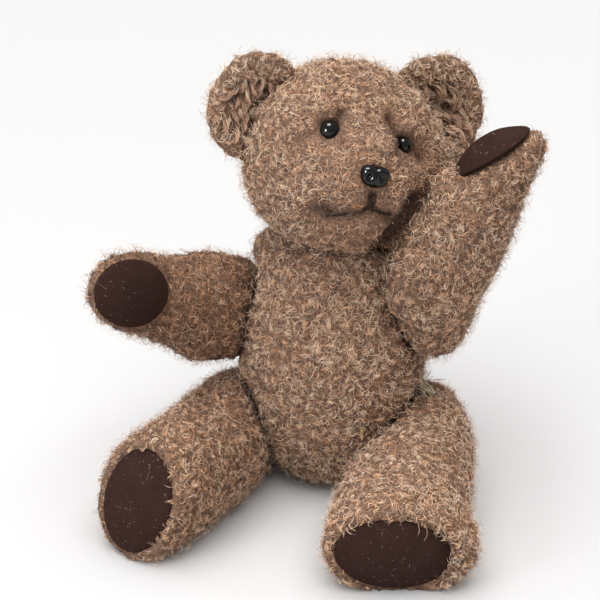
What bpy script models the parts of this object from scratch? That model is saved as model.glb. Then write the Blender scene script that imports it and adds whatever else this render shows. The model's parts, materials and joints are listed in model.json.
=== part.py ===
"""A jointed teddy bear, sitting up with its left arm raised.

Metres, +Z up. The bear faces -Y, so its left side is at +X. The origin is the middle of its seat, on the
surface that it sits on. Each stuffed piece is one closed solid: its plush cover and filling together. The
head and limbs turn on disc joints: a cotter pin through a fibreboard disc and a washer on each side.
"""

import math

import bmesh
import bpy
from mathutils import Matrix, Vector
from mathutils.bvhtree import BVHTree

GAP = 0.0003  # between pieces that touch
RING_POINTS = 14  # points round a soft cage
CAGE_SWELL = 3 / (2 + math.cos(2 * math.pi / RING_POINTS))  # undoes the shrinking of a subdivided ring

# Pose
LEAN = math.radians(5)  # of the torso, backwards
HEAD_TURN = math.radians(24.5)  # towards the bear's left
HEAD_ROLL = math.radians(8)  # its left side down
HEAD_NOD = math.radians(-6)  # chin up
ARM_RAISE = {"left": math.radians(88), "right": math.radians(23)}  # above the horizontal
# Degrees out of the joint's plane, at the pin and at the paw
ARM_BEND = {"left": (22, 44), "right": (41, 19)}
LEG_RAISE = {"left": math.radians(-1), "right": math.radians(6)}
LEG_BEND = {"left": (-1, -3), "right": (5, 24)}  # the same, at the pin and at the foot
LEG_TWIST = {"left": math.radians(84), "right": math.radians(-28)}  # of the foot, toe outwards
HIP_TILT = math.radians(12)  # the hip discs face out and down
SHOULDER_TILT = math.radians(13)  # the shoulder discs face out and up
# How far round a pin the faces of a joint are flat, and their slope beyond that
SHOULDER_FLAT = (0.027, math.radians(19))
HIP_FLAT = (0.048, math.radians(30))  # on the torso's face
THIGH_FLAT = (0.050, math.radians(-32))  # on the leg's face, which slopes inwards

# Where the joints are; the right hip mirrors the left one
SHOULDER = {"left": Vector((0.050, -0.004, 0.122)), "right": Vector((-0.050, -0.004, 0.109))}
HIP = Vector((0.041, -0.008, 0.034))
NECK_HEIGHT = 0.170  # along the torso's own axis

# Torso sections from the seat up: height, half width, half depth, shift forward
TORSO_SECTIONS = (
    (-0.004, 0.022, 0.024, 0.002),
    (0.006, 0.042, 0.045, 0.004),
    (0.036, 0.059, 0.058, 0.006),
    (0.074, 0.064, 0.062, 0.005),
    (0.112, 0.062, 0.059, 0.002),
    (0.143, 0.055, 0.052, 0.0),
    (0.166, 0.045, 0.042, 0.0),
    (0.177, 0.024, 0.024, 0.0),
)

# Head sections from the back forwards: distance forward of its centre, half width, half height, rise
HEAD_CENTRE_RISE = 0.055  # above the neck's joint plane
JOWL = 0.16  # how far the cheeks stand out of an oval
HEAD_SECTIONS = (
    (-0.058, 0.020, 0.020, 0.004),
    (-0.048, 0.043, 0.042, 0.003),
    (-0.026, 0.058, 0.056, 0.001),
    (0.002, 0.063, 0.0595, 0.0),
    (0.026, 0.060, 0.057, -0.002),
    (0.041, 0.050, 0.049, -0.006),
    (0.051, 0.040, 0.038, -0.010),
    (0.061, 0.034, 0.030, -0.013),
    (0.069, 0.028, 0.024, -0.014),
    (0.075, 0.016, 0.014, -0.013),
)

# Arm sections from the shoulder down: distance, half width, half thickness, slant, shift to the inside
ARM_PIN = 0.029  # from the shoulder's round end to the pin
ARM_OFFSET = 0.020  # from the joint face to the arm's middle
PAW_SLANT = math.radians(66)
ARM_SECTIONS = (
    (0.000, 0.013, 0.011, 0, 0),
    (0.005, 0.025, 0.020, 0, 0),
    (0.020, 0.034, 0.029, 0, 0),
    (0.045, 0.037, 0.031, 0, 0),
    (0.078, 0.034, 0.029, 0, -0.001),
    (0.104, 0.030, 0.0275, 16, 0),
    (0.124, 0.028, 0.028, 40, 0.002),
    (0.141, 0.0275, 0.034, 60, 0.002),
)
PAW_PAD = (0.0235, 0.0295)  # half width and half length
PAW_PAD_PLACE = (0.145, 0.0085)  # distance along the arm, shift to the inside

# Leg sections from the hip down: distance, half width heel to toe, half thickness, shift to the toe, slant
LEG_LENGTH = 0.172
LEG_PIN = 0.037
LEG_OFFSET = 0.024
SOLE_SLANT = 16  # degrees that the sole leans back at its toe
TWIST_REACH = 0.120  # how far from the hip's round end the foot's twist is complete
LEG_SECTIONS = (
    (0.000, 0.014, 0.012, 0, 0),
    (0.005, 0.027, 0.022, 0, 0),
    (0.022, 0.038, 0.030, 0, 0),
    (0.052, 0.041, 0.035, 0, 0),
    (0.090, 0.040, 0.036, 0, 0),
    (0.122, 0.040, 0.035, 0.001, 3),
    (0.148, 0.0435, 0.034, 0.003, 9),
    (0.163, 0.0430, 0.0325, 0.004, 14),
)
FOOT_PAD = (0.0390, 0.0275)  # half length and half width

PAD_THICKNESS = 0.0018
PAD_DOME = 0.007

# Ears: how far round the head they are sewn, and their size
EAR_BEARING = {"left": math.radians(30), "right": math.radians(20)}  # above the head's side
EAR_BACK = 0.006
EAR_HALF_WIDTH = 0.037
EAR_HEIGHT = {"left": 0.042, "right": 0.034}
EAR_HALF_THICKNESS = 0.0068
EAR_CUP = 0.014

# Face, in the head's own frame
EYE_RADIUS = 0.0056
EYE_PLACE = {"left": (0.0238, 0.0140), "right": (-0.0258, 0.0180)}  # across, up
NOSE_PLACE = (0.0, -0.007)
NOSE_HALF_WIDTH = 0.0090
NOSE_HALF_HEIGHT = 0.0072
NOSE_DEPTH = 0.0065
SHANK_RADIUS = 0.0017
SHANK_LENGTH = 0.011
LOCK_RADIUS = 0.0068
LOCK_THICKNESS = 0.0014
LOCK_DEPTH = 0.007
THREAD_RADIUS = 0.0007

# What is left of the label: its place across and up, and its thickness, height, depth in the seam and stub
LABEL_PLACE = (0.0265, 0.057)
LABEL_SIZE = (0.0008, 0.0085, 0.0016, 0.0026)

# Disc joints
DISC_RADIUS = 0.020
NECK_DISC_RADIUS = 0.023
DISC_THICKNESS = 0.003
WALL = 0.0026  # cover between a disc and the joint face
WASHER_RADIUS = 0.0065
WASHER_THICKNESS = 0.0009
PIN_HOLE_RADIUS = 0.0024
PIN_WIRE_RADIUS = 0.0009
PIN_LEG_SPACING = 0.0021
PIN_LOOP_RADIUS = 0.0027
PIN_CURL_RADIUS = 0.0026
CUP_RADIUS = 0.0085  # of the hollow behind a washer

COLOURS = {
    "plush": (0.27, 0.185, 0.135, 0.95, 0.0),
    "felt": (0.045, 0.027, 0.023, 0.9, 0.0),
    "black_plastic": (0.012, 0.012, 0.014, 0.15, 0.0),
    "thread": (0.02, 0.017, 0.016, 0.8, 0.0),
    "fibreboard": (0.20, 0.115, 0.06, 0.8, 0.0),
    "steel": (0.5, 0.5, 0.48, 0.35, 1.0),
    "tape": (0.62, 0.5, 0.29, 0.8, 0.0),
}


def clear_scene():
    for thing in list(bpy.data.objects):
        bpy.data.objects.remove(thing)


def new_collection(name):
    collection = bpy.data.collections.new(name)
    bpy.context.scene.collection.children.link(collection)
    return collection


def material(name):
    found = bpy.data.materials.get(name)
    if found:
        return found
    made = bpy.data.materials.new(name)
    made.use_nodes = True
    shader = made.node_tree.nodes["Principled BSDF"]
    red, green, blue, roughness, metallic = COLOURS[name]
    shader.inputs["Base Color"].default_value = (red, green, blue, 1)
    shader.inputs["Roughness"].default_value = roughness
    shader.inputs["Metallic"].default_value = metallic
    return made


def add_object(name, data, finish, matrix=None):
    """A piece of the bear, in its collection, with its material."""
    made = bpy.data.objects.new(name, data)
    data.materials.append(material(finish))
    bear.objects.link(made)
    if matrix is not None:
        made.matrix_world = matrix
    return made


def as_cutter(thing):
    """Moves an object to the cutters, which are no part of the bear."""
    bear.objects.unlink(thing)
    cutters.objects.link(thing)
    thing.hide_render = True
    thing.display_type = "WIRE"
    return thing


def cut(thing, cutter):
    modifier = thing.modifiers.new("cut", "BOOLEAN")
    modifier.operation = "DIFFERENCE"
    modifier.object = cutter


def ring(centre, first, second, half_first, half_second, swell=CAGE_SWELL):
    """A closed oval of points round a centre, along two directions."""
    points = []
    for k in range(RING_POINTS):
        turn = 2 * math.pi * k / RING_POINTS
        across = first * (half_first * swell * math.cos(turn))
        along = second * (half_second * swell * math.sin(turn))
        points.append(centre + across + along)
    return points


def loft_mesh(name, rings, creased=()):
    """A closed cage through rings of points; the rings in creased keep sharp edges when it's subdivided."""
    shape = bmesh.new()
    crease = shape.edges.layers.float.new("crease_edge")
    rows = [[shape.verts.new(point) for point in points] for points in rings]
    for lower, upper in zip(rows, rows[1:]):
        for k in range(len(lower)):
            after = (k + 1) % len(lower)
            shape.faces.new((lower[k], lower[after], upper[after], upper[k]))
    shape.faces.new(rows[0][::-1])
    shape.faces.new(rows[-1])
    for number in creased:
        row = rows[number]
        for k in range(len(row)):
            edge = shape.edges.get((row[k], row[(k + 1) % len(row)]))
            edge[crease] = 1.0
    bmesh.ops.recalc_face_normals(shape, faces=shape.faces)
    mesh = bpy.data.meshes.new(name)
    shape.to_mesh(mesh)
    shape.free()
    mesh.shade_smooth()
    return mesh


def stuffed(name, rings, finish, frame, levels=1, creased=()):
    """A soft piece: a coarse cage, rounded by subdivision. Its origin is the frame's."""
    turned_to = frame.to_3x3()
    placed = [[turned_to @ point for point in points] for points in rings]
    origin = Matrix.Translation(frame.to_translation())
    made = add_object(name, loft_mesh(name, placed, creased), finish, origin)
    rounding = made.modifiers.new("rounding", "SUBSURF")
    rounding.levels = rounding.render_levels = levels
    return made


def turned(name, profile, finish, matrix, steps=24):
    """A turned piece about its local Z, from a closed profile of (radius, height)."""
    mesh = bpy.data.meshes.new(name)
    points = [(radius, 0, height) for radius, height in profile]
    edges = [(k, k + 1) for k in range(len(points) - 1)]
    if profile[0][0] > 0:
        edges.append((len(points) - 1, 0))
    mesh.from_pydata(points, edges, [])
    made = add_object(name, mesh, finish, matrix)
    screw = made.modifiers.new("turning", "SCREW")
    screw.steps = screw.render_steps = steps
    screw.use_merge_vertices = True
    screw.merge_threshold = 0.00001
    screw.use_smooth_shade = False
    return made


def wire(name, points, radius, finish, matrix, sides=2):
    curve = bpy.data.curves.new(name, "CURVE")
    curve.dimensions = "3D"
    curve.bevel_depth = radius
    curve.bevel_resolution = sides
    curve.use_fill_caps = True
    spline = curve.splines.new("POLY")
    spline.points.add(len(points) - 1)
    for slot, point in zip(spline.points, points):
        slot.co = (*point, 1)
    return add_object(name, curve, finish, matrix)


def big_box(name, matrix):
    """A block above the local plane Z = 0, to cut things off there."""
    side = 0.4
    shape = bmesh.new()
    bmesh.ops.create_cube(shape, size=side, matrix=Matrix.Translation((0, 0, side / 2)))
    mesh = bpy.data.meshes.new(name)
    shape.to_mesh(mesh)
    shape.free()
    return as_cutter(add_object(name, mesh, "plush", matrix))


def facing(origin, outward, upward):
    """A frame at origin whose Z points outward and whose Y is as near upward as it can be."""
    z = outward.normalized()
    x = upward.cross(z).normalized()
    y = z.cross(x)
    turned_to = Matrix((x, y, z)).transposed().to_4x4()
    return Matrix.Translation(origin) @ turned_to


def washer(name, bottom, top, outer, inner, finish, matrix, steps):
    """A flat ring round local Z."""
    profile = ((outer, top), (outer, bottom), (inner, bottom), (inner, top))
    return turned(name, profile, finish, matrix, steps)


def joint_levels():
    """How far from the joint plane each piece of a disc joint starts."""
    disc = GAP / 2 + WALL + GAP
    disc_washer = disc + DISC_THICKNESS + GAP
    pin_end = disc_washer + WASHER_THICKNESS + GAP
    return disc, disc_washer, pin_end


def joint_hollow(name, matrix, disc_radius):
    """The hollow for a disc, its washer and the end of its pin, on the +Z side of the joint."""
    disc, disc_washer, pin_end = joint_levels()
    deep = pin_end + 2 * (PIN_LOOP_RADIUS + PIN_WIRE_RADIUS) + GAP
    bore = PIN_HOLE_RADIUS + GAP
    profile = (
        (0, deep),
        (CUP_RADIUS, deep),
        (CUP_RADIUS, disc_washer),
        (disc_radius + GAP, disc_washer),
        (disc_radius + GAP, disc - GAP),
        (bore, disc - GAP),
        (bore, -0.001),
        (0, -0.001),
    )
    return as_cutter(turned(name, profile, "plush", matrix))


def cotter_pin(name, matrix):
    """A split pin of bent wire: a loop on the +Z side, and two legs curled over on the other."""
    _, _, pin_end = joint_levels()
    leg = PIN_LEG_SPACING / 2
    head = pin_end + PIN_WIRE_RADIUS + PIN_LOOP_RADIUS
    curl = -(pin_end + PIN_WIRE_RADIUS + PIN_CURL_RADIUS)
    neck = math.asin(leg / PIN_LOOP_RADIUS)
    half = []
    for k in range(6):  # round the loop, from its top to where the leg starts
        turn = math.pi / 2 - k * (math.pi - neck) / 5
        half.append((PIN_LOOP_RADIUS * math.cos(turn), head + PIN_LOOP_RADIUS * math.sin(turn)))
    half.append((leg, 0))
    half.append((leg, curl))
    for k in range(1, 7):  # out and back up to the washer
        turn = math.pi + math.radians(36) * k
        half.append((leg + PIN_CURL_RADIUS * (1 + math.cos(turn)), curl + PIN_CURL_RADIUS * math.sin(turn)))
    other = [(-across, height) for across, height in half[1:]]
    path = [(across, 0, height) for across, height in half[::-1] + other]
    return wire(name, path, PIN_WIRE_RADIUS, "steel", matrix, sides=1)


def disc_joint(name, matrix, disc_radius=DISC_RADIUS):
    """The hardware of one joint. Returns the cutters for the moving piece (+Z side) and for the torso."""
    disc, disc_washer, _ = joint_levels()
    flipped = matrix @ Matrix.Rotation(math.pi, 4, "X")
    sides = ((name, matrix), ("torso_" + name, flipped))
    hollows = []
    for side, frame in sides:
        disc_top = disc + DISC_THICKNESS
        washer(side + "_disc", disc, disc_top, disc_radius, PIN_HOLE_RADIUS, "fibreboard", frame, 24)
        outer = disc_washer + WASHER_THICKNESS
        washer(side + "_washer", disc_washer, outer, WASHER_RADIUS, PIN_HOLE_RADIUS, "steel", frame, 16)
        hollows.append(joint_hollow(side + "_hollow", frame, disc_radius))
    cotter_pin(name + "_cotter_pin", matrix)
    return hollows


def moved(matrix, distance):
    """The frame pushed along its own Z."""
    return matrix @ Matrix.Translation((0, 0, distance))


def torso_frame():
    return Matrix.Rotation(-LEAN, 4, "X")


def neck_frame():
    return torso_frame() @ Matrix.Translation((0, 0, NECK_HEIGHT))


def shoulder_frame(side):
    """Z points out of the shoulder, Y up along the raised arm's plane."""
    sign = 1 if side == "left" else -1
    outward = Vector((sign * math.cos(SHOULDER_TILT), 0, math.sin(SHOULDER_TILT)))
    return facing(SHOULDER[side], outward, Vector((0, 0, 1)))


def hip_frame(side):
    sign = 1 if side == "left" else -1
    origin = Vector((sign * HIP.x, HIP.y, HIP.z))
    outward = Vector((sign * math.cos(HIP_TILT), 0, -math.sin(HIP_TILT)))
    return facing(origin, outward, Vector((0, 0, 1)))


def joint_face(name, matrix, flat, side):
    """All that lies on one side of a joint's face: flat near the pin, and a wide cone further out."""
    flat_radius, slope = flat
    reach = 0.25
    rise = (reach - flat_radius) * math.tan(slope)
    start = -side * GAP / 2
    end = side * reach
    profile = [(0, end), (reach, end), (reach, rise + start), (flat_radius, start), (0, start)]
    if side < 0:
        profile.reverse()
    aside = Matrix.Rotation(math.radians(3), 4, "Z")  # keeps its edges off those of the hollows
    return as_cutter(turned(name, profile, "plush", matrix @ aside, steps=48))


def make_torso(hollows):
    """The torso, flat where it sits and where the head and limbs join it."""
    rings = []
    for height, half_width, half_depth, forward in TORSO_SECTIONS:
        centre = Vector((0, -forward, height))
        rings.append(ring(centre, Vector((1, 0, 0)), Vector((0, 1, 0)), half_width, half_depth))
    torso = stuffed("torso", rings, "plush", torso_frame())
    floor = Matrix.Rotation(math.pi, 4, "X")
    for side in ("left", "right"):
        cut(torso, joint_face(side + "_shoulder_room", shoulder_frame(side), SHOULDER_FLAT, 1))
        cut(torso, joint_face(side + "_hip_room", hip_frame(side), HIP_FLAT, 1))
    cut(torso, big_box("seat_cutter", floor))
    cut(torso, big_box("neck_cutter", moved(neck_frame(), -GAP / 2)))
    for hollow in hollows:
        cut(torso, hollow)
    return torso


def block(name, size, finish, matrix):
    """A box centred on local Z, from size = (across, up, lowest Z, highest Z)."""
    across, up, low, high = size
    scale = Matrix.Diagonal((across, up, high - low, 1))
    shape = bmesh.new()
    bmesh.ops.create_cube(shape, size=1, matrix=Matrix.Translation((0, 0, (low + high) / 2)) @ scale)
    mesh = bpy.data.meshes.new(name)
    shape.to_mesh(mesh)
    shape.free()
    return add_object(name, mesh, finish, matrix)


def make_label_stub(torso):
    """What is left of a woven label, sewn into the torso by the left hip."""
    across, up = LABEL_PLACE
    world = Matrix.Identity(4)
    surface = BVHTree.FromPolygons(*evaluated_in(torso, world))
    point, normal = on_face(surface, across, up)
    frame = facing(point, normal, Vector((0, 0, 1)))
    thick, tall, sewn_in, out = LABEL_SIZE
    block("label_stub", (thick, tall, -sewn_in, out), "tape", frame)
    slot = (thick + 2 * GAP, tall + 2 * GAP, -sewn_in - GAP, 0.02)
    cut(torso, as_cutter(block("label_slot", slot, "plush", frame)))


def head_frame():
    rise = Matrix.Translation((0, 0, HEAD_CENTRE_RISE))
    turn = Matrix.Rotation(HEAD_TURN, 4, "Z")
    roll = Matrix.Rotation(HEAD_ROLL, 4, "Y")
    nod = Matrix.Rotation(HEAD_NOD, 4, "X")
    return neck_frame() @ rise @ turn @ roll @ nod


def head_rings():
    """Sections that are round above and square below, where the cheeks are."""
    rings = []
    for forward, half_width, half_height, rise in HEAD_SECTIONS:
        points = []
        for k in range(RING_POINTS):
            turn = 2 * math.pi * k / RING_POINTS
            across, up = math.cos(turn), math.sin(turn)
            squareness = 0.0 if up > 0 else JOWL
            swell = CAGE_SWELL * (1 + squareness * math.sin(2 * turn) ** 2)
            points.append(Vector((half_width * swell * across, -forward, rise + half_height * swell * up)))
        rings.append(points)
    return rings


def shoulders_envelope():
    """The torso's upper end turned about the neck's axis, a little oversize, to clear under the head."""
    clearance = 0.001
    top = 0.0
    profile = [(0, top)]
    sections = [s for s in TORSO_SECTIONS if s[0] >= 0.070][::-1]
    profile.append((0.030, top))
    for height, half_width, _, _ in sections[1:]:
        profile.append((half_width + clearance, height - NECK_HEIGHT + 0.004))
    profile.append((0, sections[-1][0] - NECK_HEIGHT))
    return as_cutter(turned("shoulders_envelope", profile, "plush", moved(neck_frame(), GAP / 2), steps=32))


def arm_sweep(arm, joint):
    """All that lies outside the inner side of an arm as it turns, from its pin outwards."""
    points, _ = evaluated_in(arm, joint)
    near = [(math.hypot(point.x, point.y), point.z) for point in points]
    clearance = 0.0012
    step = 0.010
    reach = max(radius for radius, _ in near) + step
    profile = [(0, 0.2), (reach, 0.2)]
    count = int(reach / step)
    for k in range(count, 0, -1):
        radius = k * step
        inner = [height for far, height in near if abs(far - radius) < step * 1.3]
        if inner:
            profile.append((radius, min(inner) - clearance))
    profile.append((0, profile[-1][1]))
    profile[2] = (reach, profile[2][1])
    return as_cutter(turned("arm_sweep", profile, "plush", joint, steps=48))


def make_head(hollow, arm):
    head = stuffed("head", head_rings(), "plush", head_frame(), levels=1)
    cut(head, shoulders_envelope())
    cut(head, arm_sweep(arm, shoulder_frame("left")))
    cut(head, hollow)
    return head


def evaluated_in(thing, frame):
    """The points and faces of an object with its modifiers, in a given frame."""
    bpy.context.view_layer.update()
    graph = bpy.context.evaluated_depsgraph_get()
    evaluated = thing.evaluated_get(graph)
    mesh = evaluated.to_mesh()
    to_frame = frame.inverted() @ thing.matrix_world
    points = [to_frame @ vertex.co for vertex in mesh.vertices]
    faces = [tuple(face.vertices) for face in mesh.polygons]
    evaluated.to_mesh_clear()
    return points, faces


def on_face(surface, across, up):
    """The point and outward direction on the front of a surface at a place across and up."""
    start = Vector((across, -0.2, up))
    point, normal, _, _ = surface.ray_cast(start, Vector((0, 1, 0)))
    return point, normal


def fastener_hollow(name, frame, button_radius, button_depth):
    """The socket in the head for a button's back, its shank and the lock washer on it."""
    bore = SHANK_RADIUS + GAP
    deep = -(button_depth + SHANK_LENGTH + GAP)
    lock = -(button_depth + LOCK_DEPTH)
    profile = (
        (0, 0.02),
        (button_radius + GAP, 0.02),
        (button_radius + GAP, -button_depth - GAP),
        (bore, -button_depth - GAP),
        (bore, lock + GAP),
        (LOCK_RADIUS + GAP, lock + GAP),
        (LOCK_RADIUS + GAP, lock - LOCK_THICKNESS - GAP),
        (bore, lock - LOCK_THICKNESS - GAP),
        (bore, deep),
        (0, deep),
    )
    return as_cutter(turned(name, profile, "plush", frame, steps=16))


def lock_washer(name, frame, button_depth):
    top = -(button_depth + LOCK_DEPTH)
    inner = SHANK_RADIUS + GAP
    washer(name, top - LOCK_THICKNESS, top, LOCK_RADIUS, inner, "steel", frame, 16)


def make_eye(side, surface, head):
    """A black ball with a shank through the cover, held by a lock washer."""
    sunk = 0.0030  # how deep its flat back lies
    across, up = EYE_PLACE[side]
    point, normal = on_face(surface, across, up)
    frame = head_frame() @ facing(point, normal, Vector((0, 0, 1)))
    cut(head, fastener_hollow(side + "_eye_hollow", frame, EYE_RADIUS, sunk))
    profile = []
    centre = -sunk + EYE_RADIUS * 0.55
    steps = 8
    lowest = -math.asin(0.55)
    for k in range(steps + 1):
        turn = math.pi / 2 + (lowest - math.pi / 2) * k / steps
        profile.append((EYE_RADIUS * math.cos(turn), centre + EYE_RADIUS * math.sin(turn)))
    profile[0] = (0, profile[0][1])
    profile += [(SHANK_RADIUS, -sunk), (SHANK_RADIUS, -sunk - SHANK_LENGTH), (0, -sunk - SHANK_LENGTH)]
    turned("eye_" + side, profile, "black_plastic", frame, steps=20)
    lock_washer("eye_" + side + "_lock_washer", frame, sunk)


def nose_outline(scale, height):
    """A rounded triangle, wide at the top, with a dip in the middle of its top edge."""
    points = []
    for k in range(RING_POINTS):
        turn = 2 * math.pi * k / RING_POINTS
        reach = 1 + 0.10 * math.sin(3 * turn) - 0.05 * math.cos(6 * turn)
        across = NOSE_HALF_WIDTH * scale * reach * math.cos(turn)
        up = NOSE_HALF_HEIGHT * scale * (reach * math.sin(turn) - 0.05)
        points.append(Vector((across, up, height)))
    return points


def make_nose(surface, head):
    """A moulded nose with two nostrils, on a shank like the eyes'."""
    point, normal = on_face(surface, *NOSE_PLACE)
    frame = head_frame() @ facing(point, normal, Vector((0, 0, 1)))
    sunk = 0.0022
    levels = ((0.35, 1.0), (0.72, 0.88), (0.98, 0.55), (1.08, 0.15), (1.0, -0.3))
    rings = []
    for scale, share in levels:
        height = share * NOSE_DEPTH if share > 0 else -sunk
        rings.append(nose_outline(scale, height))
    shank = []
    for height in (-sunk, -sunk - SHANK_LENGTH):
        shank.append([Vector((SHANK_RADIUS * math.cos(t), SHANK_RADIUS * math.sin(t), height)) for t in
                      (2 * math.pi * k / RING_POINTS for k in range(RING_POINTS))])
    nose = stuffed("nose", rings + shank, "black_plastic", frame, creased=(4, 5, 6))
    for sign in (-1, 1):
        shape = bmesh.new()
        bmesh.ops.create_uvsphere(shape, u_segments=10, v_segments=6, radius=0.0021)
        mesh = bpy.data.meshes.new("nostril_cutter")
        shape.to_mesh(mesh)
        shape.free()
        place = Matrix.Translation((sign * 0.0042, -0.0012, NOSE_DEPTH * 1.02))
        cutter = as_cutter(add_object("nostril_cutter", mesh, "plush", frame @ place))
        cut(nose, cutter)
    button = NOSE_HALF_WIDTH * 1.12
    cut(head, fastener_hollow("nose_hollow", frame, button, sunk))
    lock_washer("nose_lock_washer", frame, sunk)


def make_mouth(surface):
    """Three stitches of black thread on the muzzle."""
    below_nose = NOSE_PLACE[1] - NOSE_HALF_HEIGHT - 0.0035
    fork = below_nose - 0.0075
    stitches = {
        "mouth_stitch_centre": ((0.001, below_nose), (0.001, fork)),
        "mouth_stitch_left": ((0.0028, fork - 0.0012), (0.0155, fork - 0.0035)),
        "mouth_stitch_right": ((-0.0008, fork - 0.0012), (-0.0235, fork - 0.0085)),
    }
    for name, (start, end) in stitches.items():
        points = []
        steps = 8
        for k in range(steps + 1):
            share = k / steps
            across = start[0] + (end[0] - start[0]) * share
            up = start[1] + (end[1] - start[1]) * share
            point, normal = on_face(surface, across, up)
            points.append(point + normal * (THREAD_RADIUS + GAP))
        wire(name, points, THREAD_RADIUS, "thread", head_frame(), sides=1)


def make_ear(side, head):
    """A cupped half circle of two layers of plush, sewn to the head along its straight edge."""
    sign = 1 if side == "left" else -1
    levels = (
        (-0.30, 0.90, 1.0),
        (0.10, 1.0, 1.15),
        (0.45, 0.94, 1.15),
        (0.75, 0.74, 1.0),
        (0.93, 0.48, 0.75),
        (1.0, 0.22, 0.4),
    )
    rings = []
    for share, width, thickness in levels:
        points = []
        for point in ring(Vector((0, 0, share * EAR_HEIGHT[side])), Vector((1, 0, 0)), Vector((0, 1, 0)),
                          EAR_HALF_WIDTH * width, EAR_HALF_THICKNESS * thickness):
            point.y -= EAR_CUP * ((point.x / EAR_HALF_WIDTH) ** 2 - 0.35) + 0.10 * point.z * max(share, 0)
            points.append(point)
        rings.append(points)
    bearing = EAR_BEARING[side]
    outward = Vector((sign * math.cos(bearing), 0, math.sin(bearing)))
    _, half_width, half_height, _ = HEAD_SECTIONS[3]
    reach = 1 / math.hypot(math.cos(bearing) / half_width, math.sin(bearing) / half_height)
    origin = outward * (reach - 0.004) + Vector((0, EAR_BACK, 0))
    frame = head_frame() @ facing(origin, outward, Vector((0, 1, 0)))
    ear = stuffed("ear_" + side, rings, "plush", frame)
    skin = head.copy()
    skin.data = head.data.copy()
    skin.name = "ear_cutter_" + side
    bear.objects.link(skin)
    for modifier in list(skin.modifiers):
        if modifier.type == "BOOLEAN":
            skin.modifiers.remove(modifier)
    offset = skin.modifiers.new("offset", "DISPLACE")
    offset.strength = GAP
    offset.mid_level = 0
    cut(ear, as_cutter(skin))


def limb_frame(joint, raise_angle):
    """The limb's frame: X out along the pin, Z down the limb, Y to the front as it hung."""
    outward = joint.to_3x3() @ Vector((0, 0, 1))
    up = joint.to_3x3() @ Vector((0, 1, 0))
    forward = Vector((0, -1, 0))
    down_limb = forward * math.cos(raise_angle) + up * math.sin(raise_angle)
    toe = up * math.cos(raise_angle) - forward * math.sin(raise_angle)
    turned_to = Matrix((outward, toe, down_limb)).transposed().to_4x4()
    return Matrix.Translation(joint.to_translation()) @ turned_to


def limb_axes(splay):
    """Down the limb and towards its inner side, in the limb's frame."""
    down = Vector((math.sin(splay), 0, math.cos(splay)))
    inner = Vector((-math.cos(splay), 0, math.sin(splay)))
    return down, inner


def limb_line(offset, pin, paw, bend, distance):
    """The middle of a bent limb at a distance from its round end, and the ways down and inwards there."""
    at_pin, at_paw = bend
    steps = 24
    length = distance - pin
    place = Vector((offset, 0, 0))
    for k in range(steps):
        share = max(0, length * (k + 0.5) / steps / (paw - pin))
        down, _ = limb_axes(math.radians(at_pin + (at_paw - at_pin) * share))
        place += down * (length / steps)
    share = max(0, length / (paw - pin))
    down, inner = limb_axes(math.radians(at_pin + (at_paw - at_pin) * share))
    return place, down, inner


def pad_rings(centre, long_way, short_way, normal, half_long, half_short, levels):
    """Ovals on a domed pad: levels holds (share of its size, inset, height)."""
    rings = []
    for share, inset, height in levels:
        rings.append(ring(centre + normal * height, long_way, short_way,
                          half_long * share - inset, half_short * share - inset, swell=1.0))
    return rings


def dome(share):
    return PAD_DOME * (1 - share * share)


def make_limb(name, pad_name, rings, pad_place, matrix, joint_cutters):
    """A stuffed limb whose end is a felt pad, let into its cover."""
    centre, long_way, short_way, normal, half_long, half_short = pad_place
    below = PAD_THICKNESS + GAP
    shares = (0.97, 0.66, 0.33)
    seat = [(1.0, 0, 0)] + [(share, 0, dome(share) - below) for share in shares]
    seat_rings = pad_rings(centre, long_way, short_way, normal, half_long, half_short, seat)
    first = len(rings)
    limb = stuffed(name, rings + seat_rings, "plush", matrix, creased=(first, first + 1))
    for cutter in joint_cutters:
        cut(limb, cutter)
    top = [(share, GAP, dome(share)) for share in shares[::-1]]
    under = [(share, GAP, dome(share) - PAD_THICKNESS) for share in shares]
    shell = pad_rings(centre, long_way, short_way, normal, half_long, half_short, top + under)
    stuffed(pad_name, shell, "felt", matrix, creased=(2, 3))
    return limb


def make_arm(side, hollow):
    joint = shoulder_frame(side)
    matrix = limb_frame(joint, ARM_RAISE[side])
    across = Vector((0, 1, 0))
    rings = []
    for distance, half_width, half_thickness, slant, shift in ARM_SECTIONS:
        centre, down, inner = limb_line(ARM_OFFSET, ARM_PIN, PAW_PAD_PLACE[0], ARM_BEND[side], distance)
        angle = math.radians(slant)
        second = inner * math.cos(angle) - down * math.sin(angle)
        rings.append(ring(centre + inner * shift, across, second, half_width, half_thickness))
    distance, shift = PAW_PAD_PLACE
    centre, down, inner = limb_line(ARM_OFFSET, ARM_PIN, PAW_PAD_PLACE[0], ARM_BEND[side], distance)
    long_way = inner * math.cos(PAW_SLANT) - down * math.sin(PAW_SLANT)
    normal = inner * math.sin(PAW_SLANT) + down * math.cos(PAW_SLANT)
    half_short, half_long = PAW_PAD
    place = (centre + inner * shift, across, long_way, normal, half_short, half_long)
    face = joint_face(side + "_arm_face", joint, SHOULDER_FLAT, -1)
    return make_limb("arm_" + side, "paw_pad_" + side, rings, place, matrix, (face, hollow))


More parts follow.
